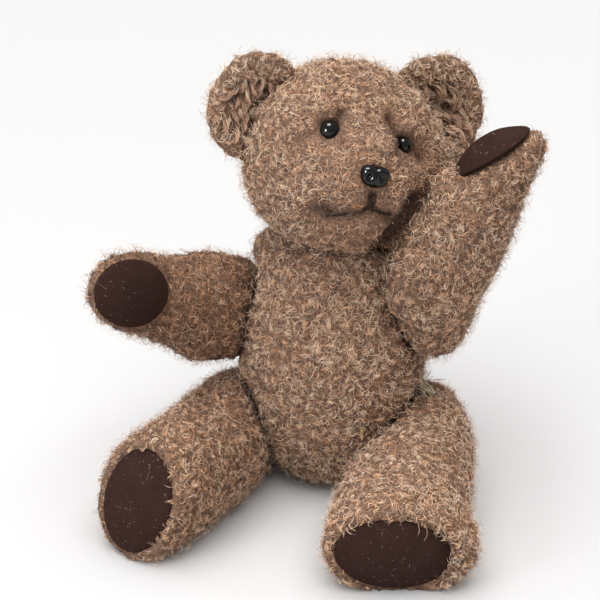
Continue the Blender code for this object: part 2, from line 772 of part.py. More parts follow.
def make_leg(side, hollow):
    joint = hip_frame(side)
    matrix = limb_frame(joint, LEG_RAISE[side])
    toe = Vector((0, 1, 0))

    def leg_axes(distance, slant):
        """The leg's middle, and the ways to its toe, to its inner side and down, leaning back by slant."""
        centre, down, inner = limb_line(LEG_OFFSET, LEG_PIN, LEG_LENGTH, LEG_BEND[side], distance)
        share = min(1, distance / TWIST_REACH)
        twist = LEG_TWIST[side] * share * share * (3 - 2 * share)
        to_toe = toe * math.cos(twist) - inner * math.sin(twist)
        to_inner = inner * math.cos(twist) + toe * math.sin(twist)
        angle = math.radians(slant)
        leaning = to_toe * math.cos(angle) - down * math.sin(angle)
        normal = down * math.cos(angle) + to_toe * math.sin(angle)
        return centre, to_toe, leaning, to_inner, normal

    rings = []
    for distance, half_width, half_thickness, shift, slant in LEG_SECTIONS:
        centre, to_toe, leaning, to_inner, _ = leg_axes(distance, slant)
        rings.append(ring(centre + to_toe * shift, leaning, to_inner, half_width, half_thickness))
    centre, to_toe, leaning, to_inner, normal = leg_axes(LEG_LENGTH, SOLE_SLANT)
    half_long, half_short = FOOT_PAD
    place = (centre + to_toe * 0.004, leaning, to_inner, normal, half_long, half_short)
    face = joint_face(side + "_leg_face", joint, THIGH_FLAT, -1)
    floor = big_box(side + "_floor", Matrix.Rotation(math.pi, 4, "X"))
    make_limb("leg_" + side, "foot_pad_" + side, rings, place, matrix, (face, floor, hollow))


def build():
    torso_hollows = []
    moving_hollows = {}
    joints = [("neck", neck_frame(), NECK_DISC_RADIUS)]
    for side in ("left", "right"):
        joints.append(("shoulder_" + side, shoulder_frame(side), DISC_RADIUS))
        joints.append(("hip_" + side, hip_frame(side), DISC_RADIUS))
    for name, frame, radius in joints:
        moving_hollows[name], torso_hollow = disc_joint(name, frame, radius)
        torso_hollows.append(torso_hollow)
    torso = make_torso(torso_hollows)
    make_label_stub(torso)
    arms = {side: make_arm(side, moving_hollows["shoulder_" + side]) for side in ("left", "right")}
    head = make_head(moving_hollows["neck"], arms["left"])
    surface = BVHTree.FromPolygons(*evaluated_in(head, head_frame()))
    make_nose(surface, head)
    make_mouth(surface)
    for side in ("left", "right"):
        make_eye(side, surface, head)
        make_ear(side, head)
        make_leg(side, moving_hollows["hip_" + side])


clear_scene()
bear = new_collection("jointed_teddy_bear")
cutters = new_collection("cutters")
build()
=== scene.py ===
"""The look of a jointed teddy bear: its stuffed plush covers and their curly pile, felt pads, eyes and nose.

Metres, +Z up, the bear faces -Y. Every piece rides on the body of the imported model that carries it.
"""
import itertools
import json
import math
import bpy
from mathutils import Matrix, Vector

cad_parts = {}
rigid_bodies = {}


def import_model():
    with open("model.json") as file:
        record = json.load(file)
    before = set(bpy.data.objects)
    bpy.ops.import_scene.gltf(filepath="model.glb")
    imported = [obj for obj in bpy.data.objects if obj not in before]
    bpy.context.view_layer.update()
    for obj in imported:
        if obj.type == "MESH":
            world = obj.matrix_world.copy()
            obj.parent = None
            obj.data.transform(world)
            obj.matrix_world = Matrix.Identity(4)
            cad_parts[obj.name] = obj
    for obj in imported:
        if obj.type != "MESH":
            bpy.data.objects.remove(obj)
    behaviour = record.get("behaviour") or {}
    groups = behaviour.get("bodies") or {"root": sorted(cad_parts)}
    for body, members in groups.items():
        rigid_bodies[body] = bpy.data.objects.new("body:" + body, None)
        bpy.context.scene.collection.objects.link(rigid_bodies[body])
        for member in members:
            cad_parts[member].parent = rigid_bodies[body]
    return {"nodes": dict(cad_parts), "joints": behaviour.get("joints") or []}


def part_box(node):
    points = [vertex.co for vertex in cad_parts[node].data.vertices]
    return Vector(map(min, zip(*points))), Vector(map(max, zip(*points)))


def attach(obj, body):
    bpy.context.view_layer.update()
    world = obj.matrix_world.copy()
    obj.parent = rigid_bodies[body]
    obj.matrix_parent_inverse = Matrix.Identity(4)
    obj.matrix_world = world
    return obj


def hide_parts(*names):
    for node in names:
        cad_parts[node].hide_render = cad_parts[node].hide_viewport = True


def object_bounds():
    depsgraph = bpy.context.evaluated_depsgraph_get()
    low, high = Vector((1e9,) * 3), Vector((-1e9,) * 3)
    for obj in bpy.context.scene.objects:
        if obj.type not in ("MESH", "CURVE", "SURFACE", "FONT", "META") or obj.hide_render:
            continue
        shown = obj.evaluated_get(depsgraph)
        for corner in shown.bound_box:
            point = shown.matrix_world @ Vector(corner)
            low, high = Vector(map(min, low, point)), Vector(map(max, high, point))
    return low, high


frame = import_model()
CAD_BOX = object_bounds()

from types import SimpleNamespace

import bmesh
import bpy
import numpy as np
from bpy.props import FloatProperty, FloatVectorProperty, PointerProperty
from mathutils import Matrix, Vector
from mathutils.bvhtree import BVHTree
from mathutils.kdtree import KDTree

bl_info = {
    "name": "Jointed Teddy Bear",
    "version": (1, 0, 0),
    "blender": (4, 5, 0),
    "location": "3D View > Sidebar > Teddy",
    "description": "Makes the plush covers, pads, face and stage of a jointed teddy bear",
    "category": "Object",
}

MM = 0.001
MAP = "OFBake"  # the map that a strand's colours are drawn on: tone across, root to tip up
SHADE_LAYER = "painted_shade"  # the layer of a cover that holds how much painted shade its ground takes
PALEST, RUSSET, WHITE = 0.86, 0.925, 0.98  # places across the map: the palest pile, and the two odd fibres
MULTIPLY = {"data_type": "RGBA", "blend_type": "MULTIPLY"}
HALVED, RELAXED = {"levels": 1, "render_levels": 1}, {"factor": 0.5, "iterations": 3}
FLOOR_GAP = 0.1 * MM  # how far a cover stays above the floor, and the stage's floor below the bear
SEEK = 8 * MM  # how far a cover looks for a neighbour, and a curl a little farther
CURL_SEEK = 9 * MM
PRESSED = 4.4 * MM  # how far from a neighbour the pile is short and darkened with painted shade

# Each cover is named as its CAD node: its body, then its voxel and how far it stands out of the CAD surface, in mm
COVERS = {
    "torso": ("torso", 5.0, 3.4),
    "head": ("head", 4.0, 2.0),
    "ear_left": ("head", 3.2, 2.2),
    "ear_right": ("head", 3.2, 2.2),
    "arm_left": ("arm_left", 5.0, 0.6),
    "arm_right": ("arm_right", 5.0, -0.2),
    "leg_left": ("leg_left", 5.0, 2.4),
    "leg_right": ("leg_right", 5.0, 1.6),
}
PADS = {
    "paw_pad_left": "arm_left",
    "paw_pad_right": "arm_right",
    "foot_pad_left": "leg_left",
    "foot_pad_right": "leg_right",
}

# Bulges and dents of the covers: the share of the node's box across, back and up, then the height and size in mm
SHAPING = {
    "arm_left": (
        ((0.33, 0.42, 0.77), 9.0, 15),
        ((0.28, 0.24, 0.76), 7.0, 17),
        ((0.16, 0.22, 0.58), 15.0, 16),
        ((0.12, 0.12, 0.43), 14.0, 16),
        ((0.10, 0.12, 0.30), 11.0, 16),
        ((0.98, 0.50, 0.92), 1.5, 15),
        ((0.74, 0.46, 0.22), -7.0, 22),
        ((0.60, 0.42, 0.02), -5.0, 18),
    ),
    "head": (((1.0, 0.45, 0.50), 8.0, 17),),
    "ear_left": (((0.65, 0.5, 0.02), 9.0, 11),),
    "torso": (
        ((0.12, 0.25, 0.85), 6.0, 16),
        ((0.12, 0.50, 0.93), 10.0, 13),
        ((0.06, 0.25, 0.68), 8.0, 19),
        ((0.02, 0.38, 0.47), 6.5, 22),
        ((0.05, 0.38, 0.25), 4.5, 18),
        ((0.98, 0.38, 0.45), 5.0, 22),
        ((1.0, 0.55, 0.40), 8.0, 14),
        ((0.98, 0.38, 0.22), 4.0, 18),
    ),
    "leg_left": (((0.90, 0.85, 0.95), -8.0, 20), ((1.0, 0.12, 0.40), 5.5, 22)),
    "leg_right": (((0.50, 0.95, 0.72), -6.0, 20),),
    "arm_right": (
        ((0.88, 0.86, 0.72), 10.0, 11),
        ((0.47, 0.46, 0.75), -8.0, 23),
        ((0.56, 0.52, 0.22), 5.5, 23),
        ((0.02, 0.18, 0.72), -2.5, 20),
    ),
}

# Painted shade: how much darker the pile of some covers is drawn than the rest
COVER_SHADE = {"arm_right": 0.28, "leg_right": 0.09, "arm_left": 0.03}


def srgb(code):
    """The linear colour of an sRGB hex value."""
    parts = [int(code[i : i + 2], 16) / 255 for i in (1, 3, 5)]
    return tuple(c / 12.92 if c <= 0.04045 else ((c + 0.055) / 1.055) ** 2.4 for c in parts)


def size_property(name, description, default):
    return FloatProperty(name=name, description=description, default=default, min=0, unit="LENGTH")


def colour_property(name, description, code):
    return FloatVectorProperty(
        name=name, description=description, default=srgb(code), min=0, max=1, size=3, subtype="COLOR"
    )


class TEDDY_PG_plush(bpy.types.PropertyGroup):
    """Sizes and colours of the wool plush."""

    pile_length: size_property("Pile Length", "Length of a curl of pile", 6.0 * MM)
    curl_width: size_property("Curl Width", "Width of a curl of a few fibres at its root", 0.50 * MM)
    tuft_spacing: size_property("Tuft Spacing", "From one matted tuft to the next", 4.6 * MM)
    curls: FloatProperty(name="Curls", description="Curls on each square millimetre", default=0.45, min=0)
    frizz_length: size_property("Frizz Length", "Length of a loose fibre that has worked out of the pile", 10 * MM)
    frizz: FloatProperty(name="Frizz", description="Loose fibres on each square millimetre", default=0.10, min=0)
    lock_length: size_property("Lock Length", "Length of the twisted locks inside the ears", 11 * MM)
    ground: colour_property("Ground", "Colour of the woven ground under the pile", "#64493a")
    shade: colour_property("Shade", "Colour of the darkest curls", "#80573e")
    brown: colour_property("Brown", "Colour of most of the pile", "#dda881")
    fawn: colour_property("Fawn", "Colour of the lighter curls", "#f4cfac")
    straw: colour_property("Straw", "Colour of the worn, bleached curls", "#f5dec6")
    russet: colour_property("Russet", "Colour of the few reddish fibres", "#b4724e")


class TEDDY_PG_trim(bpy.types.PropertyGroup):
    """Sizes and colours of the felt, the face and the label."""

    felt: colour_property("Felt", "Colour of the paw and foot pads", "#38231d")
    lint: colour_property("Lint", "Colour of the lint on the felt", "#a08c80")
    lint_length: size_property("Lint Length", "Length of a fibre of lint", 2.2 * MM)
    button: colour_property("Button", "Colour of the eyes and the nose", "#08080a")
    thread: colour_property("Thread", "Colour of the mouth's thread", "#171210")
    tape: colour_property("Tape", "Colour of what is left of the label", "#c9a868")
    fray: colour_property("Fray", "Colour of the threads frayed out of the side seam", "#fff3cf")


class TEDDY_PG_stage(bpy.types.PropertyGroup):
    """The floor, the lights and the camera."""

    floor: colour_property("Floor", "Colour of the floor", "#c6c6c7")
    lens: FloatProperty(name="Lens", description="Focal length of the camera", default=75, unit="CAMERA")
    distance: size_property("Distance", "From the camera to the bear", 0.85)


def new_object(name, data):
    piece = bpy.data.objects.new(name, data)
    bpy.context.scene.collection.objects.link(piece)
    return piece


def put(thing, **settings):
    """Gives a thing's attributes these values."""
    for name, value in settings.items():
        setattr(thing, name, value)
    return thing


def fit(piece, material, body, node=None):
    """Gives a piece its material and body, and hides the CAD node that it stands for."""
    piece.data.materials.clear()
    piece.data.materials.append(material)
    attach(piece, body)
    if node:
        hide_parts(node)


def wire(node, **inputs):
    """Gives a node's inputs their values, or another node's output."""
    for name, value in inputs.items():
        socket = node.inputs[int(name[1:])] if name[1:].isdigit() else node.inputs[name.replace("_", " ")]
        if isinstance(value, bpy.types.NodeSocket):
            node.id_data.links.new(value, socket)
        else:
            socket.default_value = value


def add(tree, kind, settings=None, output=0, stops=(), **inputs):
    """Adds a node with its settings, a ramp's (place, colour) stops and its inputs, and returns one output."""
    node = put(tree.nodes.new("ShaderNode" + kind), **(settings or {}))
    for _ in stops[2:]:
        node.color_ramp.elements.new(0.5)
    for i, (place, colour) in enumerate(stops):
        put(node.color_ramp.elements[i], position=place, color=(*colour, 1.0))
    wire(node, **inputs)
    return node.outputs[output]


def new_material(name, **settings):
    """A material, its node tree and its Principled shader with these values on its sockets."""
    material = bpy.data.materials.new(name)
    material.use_nodes = True
    shader = material.node_tree.nodes["Principled BSDF"]
    wire(shader, **settings)
    return material, material.node_tree, shader


def mixed(a, b, share):
    return tuple(x + (y - x) * share for x, y in zip(a, b))


def grey(level):
    return (level, level, level)


def plush_pile_material(plush, name, faded=0.0):
    """Wool plush pile, curled by steaming and matted by wear: soft, dry and broken in tone.

    Each curl takes its tone from the map: umber, brown, fawn and bleached straw from left to right, and
    then the few russet and white fibres.
    Its root is painted darker than its tip, as the shade deep in the pile. Faded takes colour out of it.
    """
    material, tree, shader = new_material(
        name, Roughness=0.85, Sheen_Weight=0.25, Sheen_Roughness=0.5, Specular_IOR_Level=0.2
    )
    across = add(tree, "SeparateXYZ", Vector=add(tree, "UVMap", {"uv_map": MAP}))
    tones = (
        # The darkest tones, down to near black, are mostly reached where painted shade is laid on the pile
        (0.0, mixed(plush.shade, grey(0.0), 0.92)),
        (0.20, plush.shade),
        (0.46, plush.brown),
        (0.68, plush.fawn),
        (PALEST, plush.straw),
        (0.90, plush.russet),
        (0.95, plush.russet),
        (0.97, mixed(plush.straw, grey(0.75), 0.35)),
    )
    tones = [(place, mixed(tone, grey(sum(tone) / 3), faded)) for place, tone in tones]
    tone = add(tree, "ValToRGB", stops=tones, Fac=across)
    # Painted shade: each curl is drawn darker towards its root, as the shade deep in the pile
    depth = ((0.0, grey(0.16)), (0.35, grey(0.66)), (0.75, grey(1.0)))
    along = add(tree, "ValToRGB", stops=depth, Fac=across.node.outputs["Y"])
    wire(shader, Base_Color=add(tree, "Mix", MULTIPLY, 2, _0=1.0, _6=tone, _7=along))
    return material


def plush_ground_material(plush):
    """Woven cotton ground that the pile is set in: dull brown, with the darker roots of the pile.

    Its threads lie about 0.5 mm apart and are drawn as 1.5 mm flecks, because finer ones would not show.
    """
    material, tree, shader = new_material("plush_ground_woven_cotton", Roughness=0.95)
    place = add(tree, "TexCoord", output="Object")
    flecks = add(tree, "TexNoise", Vector=place, Scale=1 / (1.5 * MM), Detail=3.0)
    patches = add(tree, "TexNoise", Vector=place, Scale=1 / (14 * MM), Detail=2.0)
    dark, light = mixed(plush.ground, grey(0), 0.45), mixed(plush.ground, plush.brown, 0.3)
    colour = add(tree, "ValToRGB", stops=((0.35, dark), (0.65, light)), Fac=flecks)
    shade = add(tree, "ValToRGB", stops=((0.3, grey(0.7)), (0.7, grey(1.0))), Fac=patches)
    # Painted shade: the ground goes nearly black in the folds and where a neighbour lies against it
    shade_share = add(tree, "Attribute", {"attribute_name": SHADE_LAYER}, "Fac")
    shade_ramp = add(tree, "ValToRGB", stops=((0.0, grey(1.0)), (0.9, (0.18, 0.13, 0.10))), Fac=shade_share)
    shaded = add(tree, "Mix", MULTIPLY, 2, _0=1.0, _6=colour, _7=shade)
    wire(
        shader,
        Base_Color=add(tree, "Mix", MULTIPLY, 2, _0=1.0, _6=shaded, _7=shade_ramp),
        Normal=add(tree, "Bump", Height=flecks, Strength=0.6, Distance=0.6 * MM),
    )
    return material


def felt_material(trim):
    """Pressed wool felt: dark, flat in tone, with a faint nap and no weave."""
    material, tree, shader = new_material("felt_pressed_wool", Roughness=1.0, Specular_IOR_Level=0.02)
    place = add(tree, "TexCoord", output="Object")
    nap = add(tree, "TexNoise", Vector=place, Scale=1 / (0.9 * MM), Detail=4.0, Roughness=0.7)
    rubbed = add(tree, "TexNoise", Vector=place, Scale=1 / (16 * MM), Detail=2.0)
    tones = ((0.3, mixed(trim.felt, grey(0), 0.25)), (0.7, mixed(trim.felt, grey(1), 0.012)))
    tone = add(tree, "ValToRGB", stops=tones, Fac=nap)
    wear = add(tree, "ValToRGB", stops=((0.3, grey(0.85)), (0.7, grey(1.0))), Fac=rubbed)
    wire(
        shader,
        Base_Color=add(tree, "Mix", MULTIPLY, 2, _0=1.0, _6=tone, _7=wear),
        Normal=add(tree, "Bump", Height=nap, Strength=0.35, Distance=0.3 * MM),
    )
    return material


def fibre_material(name, colour):
    """Loose wool or cotton fibres: pale and dry, each with its own tone."""
    material, tree, shader = new_material(name, Roughness=0.8, Sheen_Weight=0.2)
    across = add(tree, "SeparateXYZ", Vector=add(tree, "UVMap", {"uv_map": MAP}))
    tones = ((0.0, mixed(colour, grey(0), 0.35)), (1.0, mixed(colour, grey(1), 0.3)))
    wire(shader, Base_Color=add(tree, "ValToRGB", stops=tones, Fac=across))
    return material


def moulded_material(trim, name):
    """Injection-moulded ABS, polished in its mould: deep black with a sharp highlight and fine scuffs."""
    material, tree, shader = new_material(name, IOR=1.54, Specular_IOR_Level=0.35, Base_Color=(*trim.button, 1.0))
    place = add(tree, "TexCoord", output="Object")
    scuffs = add(tree, "TexNoise", Vector=place, Scale=1 / (1.2 * MM), Detail=4.0)
    waves = add(tree, "TexNoise", Vector=place, Scale=1 / (2.6 * MM), Detail=1.0)
    wire(
        shader,
        Roughness=add(tree, "ValToRGB", stops=((0.4, grey(0.05)), (0.75, grey(0.14))), Fac=scuffs),
        Normal=add(tree, "Bump", Height=waves, Strength=0.12, Distance=0.3 * MM),
    )
    return material


def thread_material(trim):
    """Waxed cotton thread, twisted from three plies: near black, with a low shine on each ply."""
    material, tree, shader = new_material("thread_waxed_cotton", Roughness=0.7, Specular_IOR_Level=0.1)
    place = add(tree, "TexCoord", output="Object")
    bands = {"wave_type": "BANDS", "bands_direction": "DIAGONAL"}
    plies = add(tree, "TexWave", bands, "Fac", Vector=place, Scale=1 / (3 * 0.5 * MM), Distortion=1.0)
    tones = ((0.2, mixed(trim.thread, grey(0), 0.5)), (0.9, mixed(trim.thread, grey(1), 0.05)))
    wire(
        shader,
        Base_Color=add(tree, "ValToRGB", stops=tones, Fac=plies),
        Normal=add(tree, "Bump", Height=plies, Strength=0.5, Distance=0.2 * MM),
    )
    return material


def tape_material(trim):
    """Woven rayon tape, cut off short: yellowed, with ribs about 0.4 mm apart, drawn at 0.8 mm so that they show."""
    material, tree, shader = new_material("label_woven_rayon", Roughness=0.6, Sheen_Weight=0.2)
    place = add(tree, "TexCoord", output="Object")
    ribs = add(tree, "TexWave", {"bands_direction": "Z"}, "Fac", Vector=place, Scale=1 / (3 * 0.8 * MM))
    stain = add(tree, "TexNoise", Vector=place, Scale=1 / (3 * MM), Detail=3.0)
    tones = ((0.3, mixed(trim.tape, srgb("#7a5a34"), 0.6)), (0.7, trim.tape))
    tone = add(tree, "ValToRGB", stops=tones, Fac=stain)
    shade = add(tree, "ValToRGB", stops=((0.0, grey(0.75)), (1.0, grey(1.0))), Fac=ribs)
    wire(
        shader,
        Base_Color=add(tree, "Mix", MULTIPLY, 2, _0=1.0, _6=tone, _7=shade),
        Normal=add(tree, "Bump", Height=ribs, Strength=0.5, Distance=0.15 * MM),
    )
    return material


def fibreboard_material():
    """Pressed hardboard, punched out: brown, with short pale fibres about 2 mm long."""
    material, tree, shader = new_material("disc_pressed_hardboard", Roughness=0.75)
    place = add(tree, "TexCoord", output="Object")
    fibres = add(tree, "TexNoise", Vector=place, Scale=1 / (2 * MM), Detail=6.0, Distortion=1.5)
    tones = ((0.3, srgb("#4c3322")), (0.55, srgb("#7a573b")), (0.8, srgb("#a07c58")))
    wire(
        shader,
        Base_Color=add(tree, "ValToRGB", stops=tones, Fac=fibres),
        Normal=add(tree, "Bump", Height=fibres, Strength=0.3, Distance=0.2 * MM),
    )
    return material


def steel_material():
    """Mild steel, stamped or drawn and zinc plated: grey metal with fine scratches and a dulled shine."""
    material, tree, shader = new_material("steel_zinc_plated", Metallic=1.0, Base_Color=(*srgb("#b4b2ab"), 1.0))
    place = add(tree, "TexCoord", output="Object")
    scratches = add(tree, "TexNoise", Vector=place, Scale=1 / (0.8 * MM), Detail=5.0)
    wire(shader, Roughness=add(tree, "ValToRGB", stops=((0.3, grey(0.25)), (0.7, grey(0.5))), Fac=scratches))
    return material


def paper_material(stage):
    """Matt studio paper: even and nearly white."""
    return new_material("stage_matt_paper", Roughness=0.9, Specular_IOR_Level=0.1, Base_Color=(*stage.floor, 1.0))[0]


def bell(far, reach, power=2):
    """A bump's height over its middle, from 1 there to 0 well beyond its reach."""
    return np.exp(-((far / reach) ** power))


def lump_noise(points, cell, seed):
    """Smooth noise from -1 to 1 at some points, with a lump about every cell."""
    table = np.random.default_rng(seed).uniform(-1, 1, (16, 16, 16))
    place = points / cell + 64
    low = np.floor(place).astype(int)
    part = place - low
    part = part * part * (3 - 2 * part)
    total = np.zeros(len(points))
    for corner in itertools.product((0, 1), repeat=3):
        weight = np.prod(np.where(corner, part, 1 - part), axis=1)
        total += weight * table[tuple(((low + corner) % 16).T)]
    return total


def unit(vectors):
    return vectors / np.maximum(np.linalg.norm(vectors, axis=-1, keepdims=True), 1e-9)


def flattened(ways, outward):
    """Ways turned to lie along the cover."""
    return unit(ways - outward * (ways * outward).sum(1)[:, None])


def turned(ways, outward, angle):
    """Ways along the cover, each turned by its angle."""
    return ways * np.cos(angle)[:, None] + np.cross(outward, ways) * np.sin(angle)[:, None]


def any_way(outward, rng):
    """A way along the cover at random for each root."""
    angle = rng.uniform(0, 2 * math.pi, len(outward))
    return turned(unit(np.cross(outward, np.array([0.31, 0.87, 0.39]))), outward, angle)


def read(data, name, kind, width):
    """A mesh layer's numbers as an array with this many columns."""
    found = np.empty(len(data) * width, kind)
    data.foreach_get(name, found)
    return found.reshape(-1, width)


def corners(mesh):
    return read(mesh.vertices, "co", np.float32, 3).astype(float)


def directions(mesh):
    return read(mesh.vertex_normals, "vector", np.float32, 3).astype(float)


def set_corners(mesh, points):
    mesh.vertices.foreach_set("co", points.astype(np.float32).ravel())
    mesh.update()


def smooth(mesh):
    mesh.polygons.foreach_set("use_smooth", np.ones(len(mesh.polygons), bool))


def modify(piece, kind, **settings):
    """Replaces the piece's mesh by what a modifier with these settings makes of it."""
    put(piece.modifiers.new(kind.lower(), kind), **settings)
    graph = bpy.context.evaluated_depsgraph_get()
    mesh = bpy.data.meshes.new_from_object(piece.evaluated_get(graph))
    piece.modifiers.clear()
    old, piece.data = piece.data, mesh
    bpy.data.meshes.remove(old)


def middle(node):
    low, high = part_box(node)
    return (Vector(low) + Vector(high)) / 2


def way_to(node, start):
    """The way from the middle of one CAD node to the middle of another."""
    return np.array((middle(node) - middle(start)).normalized())


def box_of(node):
    return (np.array(corner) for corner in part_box(node))


def neighbours(name, ears=True):
    """The other covers, with the ears or without them."""
    return [n for n in COVERS if n != name and (ears or not n.startswith("ear"))]


def joined_to(name):
    """The covers that this one is joined to, and lies against however the bear is posed."""
    if name.startswith("ear"):
        return ["head"]
    return [n for n in neighbours(name, ears=False) if "torso" in (n, name)]


def tree_of(nodes, covers=()):
    """The surfaces of some CAD nodes and finished covers, to measure to."""
    points, faces = [], []
    meshes = [frame["nodes"][name].data for name in nodes]
    for mesh in meshes + [bpy.data.objects[name + "_cover"].data for name in covers]:
        start = len(points)
        points += [tuple(v.co) for v in mesh.vertices]
        faces += [tuple(start + v for v in p.vertices) for p in mesh.polygons]
    return BVHTree.FromPolygons(points, faces)


def distances(points, surface, reach):
    """How far each point is from a surface, up to a reach."""
    return np.array([surface.find_nearest(Vector(p), reach)[3] or reach for p in points])


def room_above(points, outward, others, reach, off=0.1):
    """How far each point can rise, from some mm off it, before the floor or another piece is in its way."""
    points = points + outward * off * MM
    room = np.full(len(points), reach)
    for i, (point, way) in enumerate(zip(points, outward)):
        hit = others.ray_cast(Vector(point), Vector(way), reach)
        if hit[3] is not None:
            room[i] = hit[3]
    down = outward[:, 2] < -0.05
    room[down] = np.minimum(room[down], np.maximum(points[down, 2], 0) / -outward[down, 2])
    return room


def gap_to(points, names):
    """How far each point is from the nearest of these covers, below nought inside it, and the way from it."""
    others = tree_of([], names)
    gap, aside = np.full(len(points), CURL_SEEK), np.zeros((len(points), 3))
    for i, point in enumerate(points):
        place, outward, _, far = others.find_nearest(Vector(point), CURL_SEEK)
        if place is not None:
            side = 1 if (Vector(point) - place).dot(outward) > 0 else -1
            gap[i], aside[i] = far * side, (Vector(point) - place) * side
    return gap, unit(aside)


def copy_of(node, name, body=None):
    """A piece of a CAD node's shape, in one skin; the hollows at a body's joints are filled."""
    shape = bmesh.new()
    shape.from_mesh(frame["nodes"][node].data)
    bmesh.ops.remove_doubles(shape, verts=shape.verts, dist=1e-6)
    if body:
        fill_joint_hollows(shape, body)
    mesh = bpy.data.meshes.new(name)
    shape.to_mesh(mesh)
    shape.free()
    return new_object(name, mesh)


def fill_joint_hollows(shape, body):
    """Adds solid plugs where the discs and pins lie, so that the cover closes over them."""
    depth = 14 * MM
    for joint in frame["joints"]:
        if body not in (joint["parent"], joint["child"]):
            continue
        # The joint's hardware is named after it
        child = joint["child"].replace("head", "neck").replace("arm", "shoulder").replace("leg", "hip")
        pin, axis = Vector(joint["pos_m"]), Vector(joint["axis"]).normalized()
        inside = middle(f"torso_{child}_disc") - pin
        away = axis if (axis.dot(inside) > 0) == (body == "torso") else -axis
        turn = away.to_track_quat("Z", "Y").to_matrix().to_4x4()
        radius = 24.6 * MM if child == "neck" else 21.8 * MM
        place = Matrix.Translation(pin + away * (depth / 2 + 0.4 * MM)) @ turn
        bmesh.ops.create_cone(
            shape, cap_ends=True, segments=40, radius1=radius, radius2=radius, depth=depth, matrix=place
        )


def keep_outer_shell(mesh):
    """Removes the inner surfaces of hollows that a remesh has closed off."""
    shape = bmesh.new()
    shape.from_mesh(mesh)
    left, shells = set(shape.verts), []
    while left:
        shell, todo = set(), [left.pop()]
        while todo:
            vertex = todo.pop()
            shell.add(vertex)
            near = {e.other_vert(vertex) for e in vertex.link_edges} & left
            left -= near
            todo += near
        shells.append(shell)
    shells.sort(key=len)
    bmesh.ops.delete(shape, geom=[v for shell in shells[:-1] for v in shell], context="VERTS")
    shape.to_mesh(mesh)
    shape.free()


def new_cover(name):
    """A cover's mesh as even quads, a little smaller than its CAD node."""
    body, voxel, _ = COVERS[name]
    piece = copy_of(name, name + "_cover", body if name == body else None)
    modify(piece, "REMESH", mode="VOXEL", voxel_size=voxel * MM)
    keep_outer_shell(piece.data)
    modify(piece, "SMOOTH", **RELAXED)
    set_corners(piece.data, corners(piece.data) - directions(piece.data) * 0.8 * MM)
    return piece


def stuff(pieces):
    """Blows the covers up a little with cloth pressure, as filling does."""
    scene, most = bpy.context.scene, 3 * MM
    for piece in pieces:
        cloth = piece.modifiers.new("filling", "CLOTH")
        put(cloth.settings, quality=4, mass=0.25, tension_stiffness=18, compression_stiffness=18)
        put(cloth.settings, use_pressure=True, uniform_pressure_force=4)
        cloth.settings.effector_weights.gravity = 0
        cloth.collision_settings.use_collision = False
    for number in range(1, 21):
        scene.frame_set(number)
    graph = bpy.context.evaluated_depsgraph_get()
    for piece in pieces:
        before, swollen = corners(piece.data), corners(piece.evaluated_get(graph).data)
        move = swollen - before
        far = np.linalg.norm(move, axis=1, keepdims=True)
        set_corners(piece.data, before + move * np.minimum(1, most / np.maximum(far, 1e-9)))
        piece.modifiers.clear()
    scene.frame_set(1)


def keep_in_place(piece, name):
    """Brings the cover back to its CAD surface wherever a neighbour or a pad lies close to it."""
    own, others = tree_of([name]), tree_of(neighbours(name) + list(PADS))
    points = corners(piece.data)
    found = [own.find_nearest(Vector(p)) for p in points]
    near, outward = (np.array([hit[i] for hit in found]) for i in range(2))
    stands = ((points - near) * outward).sum(1)
    room = room_above(near, outward, others, SEEK, off=0.05)
    over = np.maximum(stands - np.clip(room * 0.35, 0.05 * MM, 2.0 * MM), 0)
    points = points - outward * over[:, None]
    points[:, 2] = np.maximum(points[:, 2], FLOOR_GAP)
    set_corners(piece.data, points)


def head_axes():
    """The ways across to the bear's left, forwards and up, as its head is turned."""
    across = (middle("eye_left") - middle("eye_right")).normalized()
    forward = middle("nose") - middle("head")
    forward = (forward - across * forward.dot(across)).normalized()
    return across, forward, across.cross(forward) * -1


def head_ways():
    """The same three ways as arrays."""
    return [np.array(way) for way in head_axes()]


def on_face(points):
    """Points drawn straight back to a plane through the head; those behind it are put far away."""
    forward = head_ways()[1]
    ahead = (points - np.array(middle("head"))) @ forward
    return points - np.outer(ahead, forward) + (ahead < 0)[:, None]


def near_line(points, line):
    """The distance across the face from each point to a line of places, and the way from the line to it."""
    points, line = on_face(points), on_face(np.array(line))
    best, away = np.full(len(points), 1.0), np.zeros((len(points), 3))
    for a, b in zip(line, line[1:]):
        along = b - a
        share = np.clip((points - a) @ along / max(along @ along, 1e-12), 0, 1)
        aside = points - a - share[:, None] * along
        far = np.linalg.norm(aside, axis=1)
        nearer = far < best
        best[nearer], away[nearer] = far[nearer], aside[nearer]
    return best, unit(away)


def near_spot(points, spot):
    """The distance across the face from each point to one place."""
    return near_line(points, [spot, spot])[0]


def face_creases():
    """The folds of the face, as lines through places on it, with their depths and half widths."""
    across, _, up = head_axes()
    # Each: the node that it starts from, its places across and up from there, its depth and half width, all in mm
    folds = (
        ("eye_left", ((-11, 15), (-6, 8), (-1.4, 3.5)), 5.5, 3.0),
        ("eye_left", ((6.8, 0.2), (11, -2.5), (15, -6)), 4.5, 2.4),
        ("eye_right", ((-4, 4), (2, 6), (5, 12)), 5.0, 3.0),
        ("eye_right", ((-8, -3), (-18, -10)), 1.5, 1.6),
        ("mouth_stitch_left", ((20, 9), (18, 0), (13, -10), (8, -20)), 8.0, 6.6),
        ("mouth_stitch_right", ((-16, -2), (-14, -2)), 6.0, 4.5),
    )
    return [
        ([middle(start) + across * a * MM + up * u * MM for a, u in way], deep * MM, wide * MM)
        for start, way, deep, wide in folds
    ]


def mouth_lines():
    """The mouth's three stitches, each as a line down its middle."""
    lines = []
    for side in ("centre", "left", "right"):
        points = corners(frame["nodes"]["mouth_stitch_" + side].data)
        middle_of = points.mean(0)
        longest = np.linalg.svd(points - middle_of)[2][0]
        along = (points - middle_of) @ longest
        lines.append([points[group].mean(0) for group in np.array_split(np.argsort(along), 4)])
    return lines


